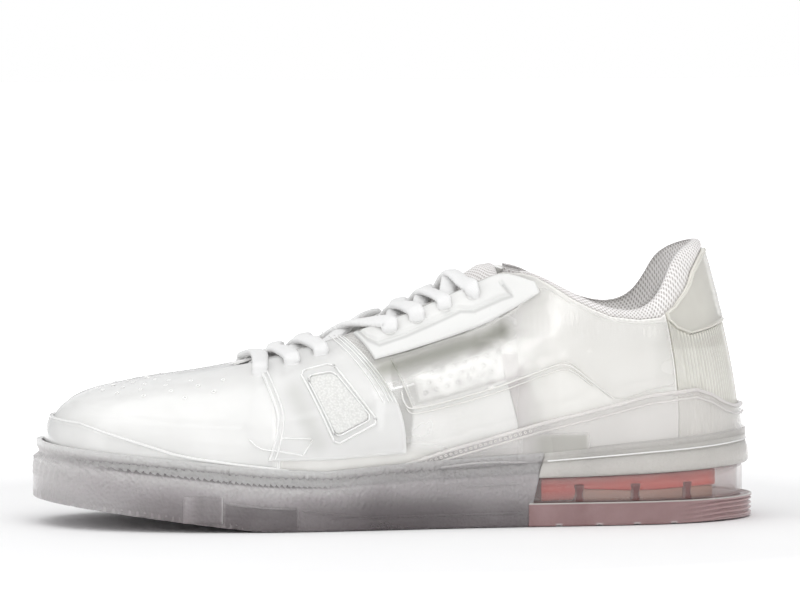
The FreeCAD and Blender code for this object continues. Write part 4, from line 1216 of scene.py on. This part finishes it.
def make_eyestay(name, side):
    """White reinforcement of the rear lace holes, with its stepped groove."""
    groove = [(-18, 80.5), (-14, 76.3), (-9.8, 74.5), (1, 78), (13, 83), (24, 88), (29.5, 88),
              (41, 93), (45.2, 94.4), (42, 98.6)]

    def relief(base, p, t):
        return ripple(base, 0.12, 30) - 0.9 * near_line(base, groove, 1.2)
    stay = panel(side, EYESTAY_LOW, EYESTAY_HIGH, OVER, OVER + OVERLAY + 0.3, 200, 46, relief)
    parts = [stay]
    for x in EYELET_X[3:]:
        p = np.array([station_at(x, 0.9)])
        p = p if side == LATERAL else TURN - p
        t = level(p, skin(p, 1)[..., 2] - EYELET_DROP)
        parts.append(rim_at(p, t, OVER + OVERLAY + 0.3, 2.9, 0.7, 24))
    obj = piece("eyestay_moulding_" + name, parts, finish_of("eyestay_white"),
                nodes=["eyestay_" + name])
    # painted shade along the groove
    return mark(obj, "shade", lambda at: 0.5 * near_line(at, groove, 1.0))


QUARTER_LOW = [(2, 48.8), (17.3, 51.7), (38.6, 57.5), (55.7, 63.5), (67.6, 66.7), (77, 59.1),
               (87, 51.8), (100, 54.6), (112.5, 57.0)]
QUARTER_HIGH = [(-6, 68.7), (12, 74.2), (31, 80.6), (46, 88.5), (57, 97.5), (68, 92.5), (84, 85.2),
                (98, 83), (109, 83.6)]


def make_quarter_overlay(name, side):
    """Welded skin of the quarter, with the double weld line over the clear window."""
    top = OVER + 0.8
    overlay = panel(side, QUARTER_LOW, QUARTER_HIGH, OVER, top, 150, 50,
                    lambda base, p, t: ripple(base, 0.25, 24))
    parts = [overlay]
    corner = [(-2.5, 56), (-1.5, 51.5), (2, 49)]
    weld = corner + [(17.3, 51.9), (38.6, 57.7), (55.7, 63.7), (64, 66.2), (69, 65.3), (77, 59.3), (87, 51.6)]
    parts.append(bead(side, weld, top, 0.8, 0.8))
    parts.append(bead(side, shifted(weld, 0.6, -1.9)[1:-1], top - 0.6, 0.7, 0.7))
    obj = piece("quarter_overlay_skin_" + name, parts, finish_of("quarter_clear"),
                nodes=["quarter_overlay_" + name])
    # painted shade under the eyestay
    return mark(obj, "shade", throat_shade)


def make_perforated_panel(name, side):
    """White inner panel with three rows of punched holes."""
    low = [(5, 52), (20, 55.5), (41, 61.5)]
    high = [(3, 62), (20, 68), (40, 75)]
    holes = []
    for row in range(3):
        for i in range(7):
            holes.append((8 + 4.6 * i + 1.6 * row, 55 + 0.3 * (2 + 4.6 * i + 1.6 * row) + 3.6 * row))

    def relief(base, p, t):
        lift = np.zeros(base.shape[:-1])
        for x, z in holes:
            near = np.hypot(base[..., 0] - x, base[..., 2] - z)
            lift -= 0.8 * np.clip(1 - near / 0.9, 0, 1)
        return lift
    sheet = panel(side, low, high, UNDER - 1.1, UNDER, 150, 60, relief)
    # dark rims round the holes: painted shade of the holes
    rims = [ring_mark(side, x, z, UNDER - 0.05, 0.95, 0.5) for x, z in holes]
    piece("perforation_rims_" + name, rims, finish_of("hole_shade_rim"))
    return piece("perforated_sheet_" + name, sheet, finish_of("inner_white"),
                 nodes=["perforated_panel_" + name])


def make_midfoot_panel(name, side):
    low = [(1, 30), (20, 31), (49, 32)]
    high = [(2.5, 50.5), (20, 54.5), (42, 60.5)]
    sheet = panel(side, low, high, UNDER - 1.1, UNDER, 60, 40, lambda base, p, t: ripple(base, 0.15, 40))
    return piece("midfoot_sheet_" + name, sheet, finish_of("inner_white"),
                 nodes=["midfoot_panel_" + name])


def make_inner_strap(name, side):
    low = [(50, 31), (64, 32)]
    high = [(38.5, 71), (46, 71.5)]
    sheet = panel(side, low, high, -2.5, -1.4, 24, 70,
                  lambda base, p, t: 0.12 * np.sin(2 * math.pi * base[..., 2] / 1.6))
    return piece("inner_webbing_" + name, sheet, finish_of("inner_webbing"),
                 nodes=["inner_strap_" + name])


def make_heel_cup():
    """Soft clear cup round the heel, with a dotted strip along its front edge."""
    start = station_at(-22)
    cup = band(start, TURN - start, zero, lambda p: line_level(CUP_TOP, p), CUP_INNER, CUP_INNER + CUP,
               300, 30, lambda base, p, t: ripple(base, 0.12, 34))
    parts = [cup]
    top = CUP_INNER + CUP
    for x in np.arange(-12, 52, 2.1):
        z = float(along(CUP_TOP, x)) - 2.2
        for side in (LATERAL, MEDIAL):
            parts.append(ring_mark(side, float(x), z, top, 0.45, 0.5, 8))
    obj = piece("heel_cup_moulding", parts, finish_of("cup_clear"), nodes=["heel_cup"])

    def patch_of(at):
        return (1 - eased(at[:, 2], 37, 38.5)) * eased(at[:, 0], 46, 58) * (1 - eased(at[:, 0], 75, 76.5))
    mark(obj, "haze", lambda at: 0.4 * patch_of(at))
    return mark(obj, "shade", lambda at: 0.62 * patch_of(at))


def make_cup_bead():
    """Two raised strips along the cup's upper edge."""
    start = station_at(-8)
    p = np.linspace(start, TURN - start, 300)
    parts = [skin_bead(p, line_level(CUP_TOP, p, -0.7), CUP_INNER + CUP + 0.1, 1.3, 1.0),
             skin_bead(p, line_level(CUP_TOP, p, -3.8), CUP_INNER + CUP + 0.1, 0.9, 0.8)]
    return piece("cup_edge_beads", parts, finish_of("cup_clear"), nodes=["cup_bead"])


# --- soft pieces -----------------------------------------------------------------------------
def puff(obj, held, pressure, cap, frames=14):
    """Inflates a closed padded mesh by cloth simulation. held says which points stay sewn."""
    mesh = obj.data
    rest = np.zeros(len(mesh.vertices) * 3)
    mesh.vertices.foreach_get("co", rest)
    rest = rest.reshape(-1, 3)
    group = obj.vertex_groups.new(name="sewn")
    group.add([int(i) for i in np.nonzero(held)[0]], 1.0, "REPLACE")
    cloth = obj.modifiers.new("cloth", "CLOTH")
    settings = cloth.settings
    settings.quality = 5
    settings.use_pressure = True
    settings.uniform_pressure_force = pressure
    settings.vertex_group_mass = "sewn"
    settings.tension_stiffness = 25
    settings.compression_stiffness = 25
    settings.bending_stiffness = 2.0
    settings.effector_weights.gravity = 0
    cloth.collision_settings.use_collision = False
    scene = bpy.context.scene
    for number in range(1, frames + 1):
        scene.frame_set(number)
    shown = obj.evaluated_get(bpy.context.evaluated_depsgraph_get())
    moved = np.zeros(len(shown.data.vertices) * 3)
    shown.data.vertices.foreach_get("co", moved)
    shift = moved.reshape(-1, 3) - rest
    far = np.linalg.norm(shift, axis=1, keepdims=True)
    shift *= np.minimum(1.0, cap * MM / np.maximum(far, 1e-9))
    obj.modifiers.remove(cloth)
    obj.vertex_groups.remove(group)
    mesh.vertices.foreach_set("co", (rest + shift).ravel())
    mesh.update()
    scene.frame_set(1)


COLLAR_START = 49.5
COLLAR_PAD = 4.6


def make_collar():
    """Padded mesh collar: behind the shell, over its edge, and back down inside."""
    start = station_at(COLLAR_START)
    p = np.linspace(start, TURN - start, 190)
    edge = shell_edge(p)
    base = level(p, np.full(p.shape, PAD_BASE))
    rings, depth_of = [], []
    start_run = np.minimum(np.arange(190), np.arange(190)[::-1]) / 9
    thin = 0.25 + 0.75 * np.sqrt(1 - (1 - np.clip(start_run, 0, 1)) ** 2)
    behind = np.linspace(0, 1, 16)
    for f in behind:
        thick = COLLAR_PAD * (0.35 + 0.65 * math.sin(math.pi / 2 * min(1.0, f * 2.6)))
        depth_of.append((base + (edge - base) * f, -0.45, thick))
    for share, outer in ((0.1, 0.1), (0.3, 0.55), (0.55, 0.65), (0.78, 0.25), (0.93, -0.5), (1.0, -1.4)):
        depth_of.append((edge + (1 - edge) * share, outer, COLLAR_PAD - 2.2 * share**3))
    for t, outer, thick in depth_of:
        rings.append(on_skin(p, t, np.full(p.shape, outer)))
    for t, outer, thick in reversed(depth_of):
        swell = 0.5 * np.sin(math.pi * np.clip((t - base) / np.maximum(1 - base, 1e-6), 0, 1))
        rings.append(on_skin(p, t, outer - (thick + swell - 0.4) * thin))
    body = loft(np.stack(rings, axis=1))
    obj = piece("collar_lining_mesh", body, finish_of("mesh_lining"), nodes=["collar_lining"])
    count = len(rings)
    column = np.arange(len(p) * count) % count
    row = np.arange(len(p) * count) // count
    sewn = (column < 16) | (column > count - 4) | (row < 2) | (row > len(p) - 3)
    puff(obj, sewn, 1.5, 0.9)
    return obj


TONGUE_CREST = [(-64.5, 61.6), (-58, 63.5), (-50, 66.9), (-36, 71.9), (-12, 79.3), (0, 84), (11, 89.5),
                (22, 96.8), (29, 101.8), (35, 105.6), (42, 106.6)]
TONGUE_WIDTH = [(-64.5, 8), (-55, 11), (-36, 15.5), (0, 20), (24, 23), (30, 21.5), (37, 20), (42, 14)]
TONGUE_TUCK = [(-64.5, 5), (-30, 6.2), (10, 8), (25, 9.6), (42, 10)]
TONGUE_START, TONGUE_END = -64.5, 42.0
TONGUE_FOAM = 3.2
TONGUE_LINING = 0.8


def throat_edge(x):
    """Half width and height of the topline beside the throat at x."""
    p = station_at(x, 1.0)
    edge = skin(p, 1)
    return abs(edge[1] - centre_y(edge[0])), edge[2]


def tongue_layer(upper, lower, columns=110, rows=50):
    """Part between two depths under the tongue's outer face."""
    xs = TONGUE_START + (TONGUE_END - TONGUE_START) * edge_steps(columns, TONGUE_END - TONGUE_START, 2.0)
    v = edge_steps(rows, 2 * along(TONGUE_WIDTH, 0), 2.0)
    middle = (upper + lower) / 2
    grids = {}
    for depth, key in ((upper, "top"), (lower, "bottom")):
        grid = np.zeros((columns, rows, 3))
        for i, x in enumerate(xs):
            half, height = throat_edge(x)
            crest = along(TONGUE_CREST, x)
            drop = (crest - height + along(TONGUE_TUCK, x)) / half**2
            y = (2 * v - 1) * along(TONGUE_WIDTH, x)
            rounding = edge_round(v, 40.0, 2.0) * edge_round(np.array([(x - TONGUE_START) / 106.5]),
                                                             106.5, 2.0)
            thin = 1 - 0.6 * np.abs(2 * v - 1) ** 3
            at = (middle + (depth - middle) * rounding) * thin
            grid[i, :, 0] = x
            grid[i, :, 1] = y + centre_y(x)
            grid[i, :, 2] = crest - drop * y * y - at
        grids[key] = grid
    return slab(grids["top"], grids["bottom"])


def make_tongue():
    face = piece("tongue_mesh", tongue_layer(0.0, TONGUE_FOAM), finish_of("mesh_lining"), body="tongue",
                 nodes=["tongue"])
    back = piece("tongue_lining_mesh", tongue_layer(TONGUE_FOAM + 0.1, TONGUE_FOAM + 0.1 + TONGUE_LINING),
                 finish_of("mesh_lining"), body="tongue", nodes=["tongue_lining"])


LACE_LOW_LIFT = 2.1
LACE_HIGH_LIFT = 4.2
LACE_OVER = 2.9
LACE_WIDTH = 6.6
LACE_THICKNESS = 3.2


def eyelet_spot(x, side):
    p = np.array(station_at(x, 0.9))
    p = p if side == LATERAL else TURN - p
    t = level(p, skin(p, 1)[..., 2] - EYELET_DROP)
    down = unit(skin(p, t - 0.05) - skin(p, t))
    return skin(p, t), skin_normal(p, t), down


def lace_half(side):
    """Points of one half of the lace, each with the direction that its flat face looks."""
    up = np.array([0.0, 0.0, 1.0])
    half, height = throat_edge(EYELET_X[0])
    middle = centre_y(EYELET_X[0])
    points = [(np.array([EYELET_X[0], side * (half - 2) + middle, height + LACE_OVER]), up)]
    here = side
    last = len(EYELET_X) - 1
    for i in range(last + 1):
        spot, out, down = eyelet_spot(EYELET_X[i], here)
        rest = 4.5 if i > 2 else 4.1
        points.append((spot + out * rest - down * 2.6, unit(out + 0.1 * down)))
        points.append((spot + out * (rest - 1.7) + down * 0.3, unit(down + 0.8 * out)))
        points.append((spot - out * 2.4, unit(down - out)))
        if i == last:
            break
        pitch = EYELET_X[i + 1] - EYELET_X[i]
        x = EYELET_X[i] + 0.1 * pitch
        half, height = throat_edge(x)
        points.append((np.array([x, here * (half - 1.5) + centre_y(x), height - 1.9]), up))
        middle_x = EYELET_X[i] + 0.4 * pitch
        lift = LACE_HIGH_LIFT if here == MEDIAL else LACE_LOW_LIFT
        crest = along(TONGUE_CREST, middle_x)
        points.append((np.array([middle_x, centre_y(middle_x), crest + lift]), up))
        here = -here
        x = EYELET_X[i] + 0.68 * pitch
        half, height = throat_edge(x)
        lean = unit(np.array([0.0, here * 0.9, 1.0]))
        points.append((np.array([x, here * (half - 2) + centre_y(x), height + LACE_OVER]), lean))
    spot, out, down = eyelet_spot(EYELET_X[last], here)
    p, t = locate(spot[0] + 9, spot[2] - 5, here)
    points.append((on_skin(p, t, -3.5), -out))
    return points


def make_lace():
    """Flat woven lace, swept along its route and lying flat on what it crosses."""
    route = list(reversed(lace_half(LATERAL))) + lace_half(MEDIAL)
    points = np.array([point for point, _ in route])
    looks = np.array([look for _, look in route])
    joined = np.hstack([points, looks * 4])
    fine = smooth_line(joined, 1400)
    path = fine[:, :3]
    steps = np.linalg.norm(np.diff(path, axis=0), axis=1)
    run = np.concatenate([[0], np.cumsum(steps)])
    path = np.stack([np.interp(np.linspace(0, run[-1], 1300), run, path[:, i]) for i in range(3)], -1)
    wanted = np.stack([np.interp(np.linspace(0, run[-1], 1300), run, fine[:, 3 + i]) for i in range(3)], -1)
    ahead = unit(np.gradient(path, axis=0))
    normals = np.zeros_like(path)
    current = unit(np.cross(np.cross(ahead[0], wanted[0]), ahead[0]))
    for i in range(len(path)):
        flat = wanted[i] - ahead[i] * (wanted[i] @ ahead[i])
        current = current - ahead[i] * (current @ ahead[i])
        strength = np.linalg.norm(flat) / 4
        if flat @ current < 0:
            flat = -flat
        current = unit(current + flat * 0.05 * strength)
        normals[i] = current
    width = np.full(len(path), 1.0)
    width *= 1 + 0.05 * np.sin(np.arange(len(path)) * 0.09)
    part = ribbon(path, normals, width)
    return piece("lace_weave", part, finish_of("lace_cord"), nodes=["lace"])


def ribbon(path, normals, width, sides=20):
    """Flat cord with a full, rounded section and a ribbed surface."""
    ahead = unit(np.gradient(path, axis=0))
    across = unit(np.cross(ahead, normals))
    upright = unit(np.cross(across, ahead))
    taper = end_taper(len(path), 4)
    rings = np.zeros((len(path), sides, 3))
    ribs = 1 + 0.05 * np.sin(np.arange(len(path)) * math.pi * 0.5)
    for j in range(sides):
        angle = 2 * math.pi * j / sides
        c, s = math.cos(angle), math.sin(angle)
        wide = np.sign(c) * abs(c) ** 0.75 * LACE_WIDTH / 2
        tall = np.sign(s) * abs(s) ** 0.85 * LACE_THICKNESS / 2
        rings[:, j] = path + (across * wide + upright * tall) * (width * taper * ribs)[:, None]
    return loft(rings)


def make_aglets():
    """Film tips of the tucked lace ends, crimped at both rims."""
    parts = []
    for side in (LATERAL, MEDIAL):
        before, end = (point for point, _ in lace_half(side)[-2:])
        direction = unit(end - before)
        steps = np.array([0.2, 0.25, 0.8, 1.2, 4.5, 7.8, 8.2, 8.8, 9.2])
        sizes = np.array([0.7, 1.0, 1.05, 0.95, 0.95, 0.95, 1.05, 0.9, 0.3])
        path = end + steps[:, None] * direction
        normal = np.tile(unit(np.cross(direction, np.array([0.0, 0.0, 1.0]))), (len(path), 1))
        parts.append(tube(path, normal, 2.6, 2.6, sides=14, taper=sizes))
    return piece("aglet_tips", parts, finish_of("aglet_tip"), nodes=["aglets"])


def footprint_grid(outset, columns, rows, start=None, end=None):
    """Grid of points over the footprint, or over its stretch between two x."""
    p = np.linspace(0, TURN, 1600, endpoint=False)
    outline = plan(p, np.full(p.shape, outset), 0.0)
    first, last = outline[:, 0].argmin(), outline[:, 0].argmax()
    lateral = outline[first:last + 1]
    medial = np.vstack([outline[last:], outline[:first + 1]])[::-1]
    if start is None:
        u = 0.5 - 0.5 * np.cos(np.linspace(0.03, math.pi - 0.03, columns))
        x = outline[first, 0] + (outline[last, 0] - outline[first, 0]) * u
    else:
        x = start + (end - start) * edge_steps(columns, end - start, 1.0)
    low = np.interp(x, np.maximum.accumulate(lateral[:, 0]), lateral[:, 1])
    high = np.interp(x, np.maximum.accumulate(medial[:, 0]), medial[:, 1])
    v = edge_steps(rows, 80.0, 2.5)
    y = low[:, None] + (high - low)[:, None] * v
    return np.broadcast_to(x[:, None], y.shape), y, v


def make_sockliner():
    """Loose footbed: foam with a rolled edge, cupped a little at the heel."""
    x, y, v = footprint_grid(-3.2, 150, 40)
    rounding = np.minimum(edge_round(v, 80.0, 2.5)[None, :],
                          edge_round((x[:, :1] - x.min()) / (x.max() - x.min()), 280, 2.5))
    cup = 0.6 * (np.abs(2 * v - 1) ** 4)[None, :] * np.clip((x - 60) / 40, 0, 1)
    top = np.stack([x, y, footbed(x) + 0.1 + (3.3 + cup) * rounding], -1)
    bottom = np.stack([x, y, footbed(x) + 0.1], -1)
    obj = piece("sockliner_pad", slab(top, bottom), finish_of("sockliner"), body="sockliner",
                nodes=["sockliner"])
    return obj


# --- stage -----------------------------------------------------------------------------------
CAMERA_AZIMUTH = math.radians(-8.0)
CAMERA_ELEVATION = math.radians(4.0)
VIEW_WIDTH = 0.3333  # metres across the frame at the shoe
LENS = 400.0


def make_camera():
    data = bpy.data.cameras.new("camera")
    data.lens = LENS
    data.sensor_width = 36.0
    data.clip_start, data.clip_end = 0.1, 50.0
    camera = bpy.data.objects.new("camera", data)
    bpy.context.scene.collection.objects.link(camera)
    ca, sa = math.cos(CAMERA_AZIMUTH), math.sin(CAMERA_AZIMUTH)
    ce, se = math.cos(CAMERA_ELEVATION), math.sin(CAMERA_ELEVATION)
    back = Vector((sa * ce, -ca * ce, se))
    right = Vector((ca, sa, 0))
    up = Vector((-sa * se, ca * se, ce))
    centre = (cad_box[0] + cad_box[1]) / 2
    ground_point = Vector((centre.x, centre.y, 0))
    target = ground_point + right * 0.0029 + up * 0.0908
    camera.location = target + back * (VIEW_WIDTH * LENS / data.sensor_width)
    camera.rotation_euler = (-back).to_track_quat("-Z", "Y").to_euler()
    bpy.context.scene.camera = camera


def soft_box(name, location, size, power, target=(0.0, 0.0, 0.05), colour=(1, 1, 1)):
    data = bpy.data.lights.new(name, "AREA")
    data.shape = "RECTANGLE"
    data.size, data.size_y = size
    data.energy = power
    data.color = colour
    light = bpy.data.objects.new(name, data)
    light.location = location
    light.rotation_euler = (Vector(target) - Vector(location)).to_track_quat("-Z", "Y").to_euler()
    light.visible_camera = False
    bpy.context.scene.collection.objects.link(light)


def make_stage():
    mesh = bpy.data.meshes.new("floor")
    half = 4.0
    mesh.from_pydata([(-half, -half, 0), (half, -half, 0), (half, half, 0), (-half, half, 0)], [], [(0, 1, 2, 3)])
    floor = bpy.data.objects.new("floor", mesh)
    floor.location.z = -0.0003
    bpy.context.scene.collection.objects.link(floor)
    mesh.materials.append(floor_material())
    soft_box("key_top", (-0.2, -0.3, 1.1), (1.6, 1.2), 6.3)
    soft_box("front_fill", (0.2, -1.5, 0.5), (1.6, 0.8), 3.0)
    soft_box("front_strip", (0.12, -1.2, 0.75), (0.14, 0.8), 1.2)
    soft_box("left_strip", (-1.2, -0.4, 0.5), (0.5, 1.0), 1.5)
    soft_box("back_glow", (0.3, 1.3, 0.6), (1.6, 0.8), 1.5)
    world = bpy.data.worlds.new("studio")
    world.use_nodes = True
    nodes, links = world.node_tree.nodes, world.node_tree.links
    nodes.clear()
    out = nodes.new("ShaderNodeOutputWorld")
    seen = nodes.new("ShaderNodeBackground")
    seen.inputs["Color"].default_value = (1, 1, 1, 1)
    seen.inputs["Strength"].default_value = 1.0
    lit = nodes.new("ShaderNodeBackground")
    lit.inputs["Color"].default_value = (0.99, 0.99, 1.0, 1)
    lit.inputs["Strength"].default_value = 0.64
    path = nodes.new("ShaderNodeLightPath")
    mix = nodes.new("ShaderNodeMixShader")
    links.new(path.outputs["Is Camera Ray"], mix.inputs[0])
    links.new(lit.outputs[0], mix.inputs[1])
    links.new(seen.outputs[0], mix.inputs[2])
    links.new(mix.outputs[0], out.inputs["Surface"])
    scene = bpy.context.scene
    scene.world = world
    scene.view_settings.view_transform = "Standard"
    scene.cycles.transparent_max_bounces = 40
    scene.cycles.max_bounces = 10
    scene.cycles.use_denoising = True


def make_shoe():
    dress_frame()
    make_sidewall()
    make_heel_flange()
    make_cushion()
    make_air_wall()
    make_heel_tread()
    make_toe_box()
    make_heel_counter()
    make_heel_tab()
    make_toe_rand()
    for name, side in SIDES.items():
        make_sole_insert(name, side)
        make_quarter(name, side)
        make_strap(name, side)
        make_badge(name, side)
        make_eyestay(name, side)
        make_quarter_overlay(name, side)
        make_perforated_panel(name, side)
        make_midfoot_panel(name, side)
        make_inner_strap(name, side)
    make_heel_cup()
    make_cup_bead()
    make_collar()
    make_tongue()
    make_lace()
    make_aglets()
    make_sockliner()


make_camera()
make_stage()
make_shoe()
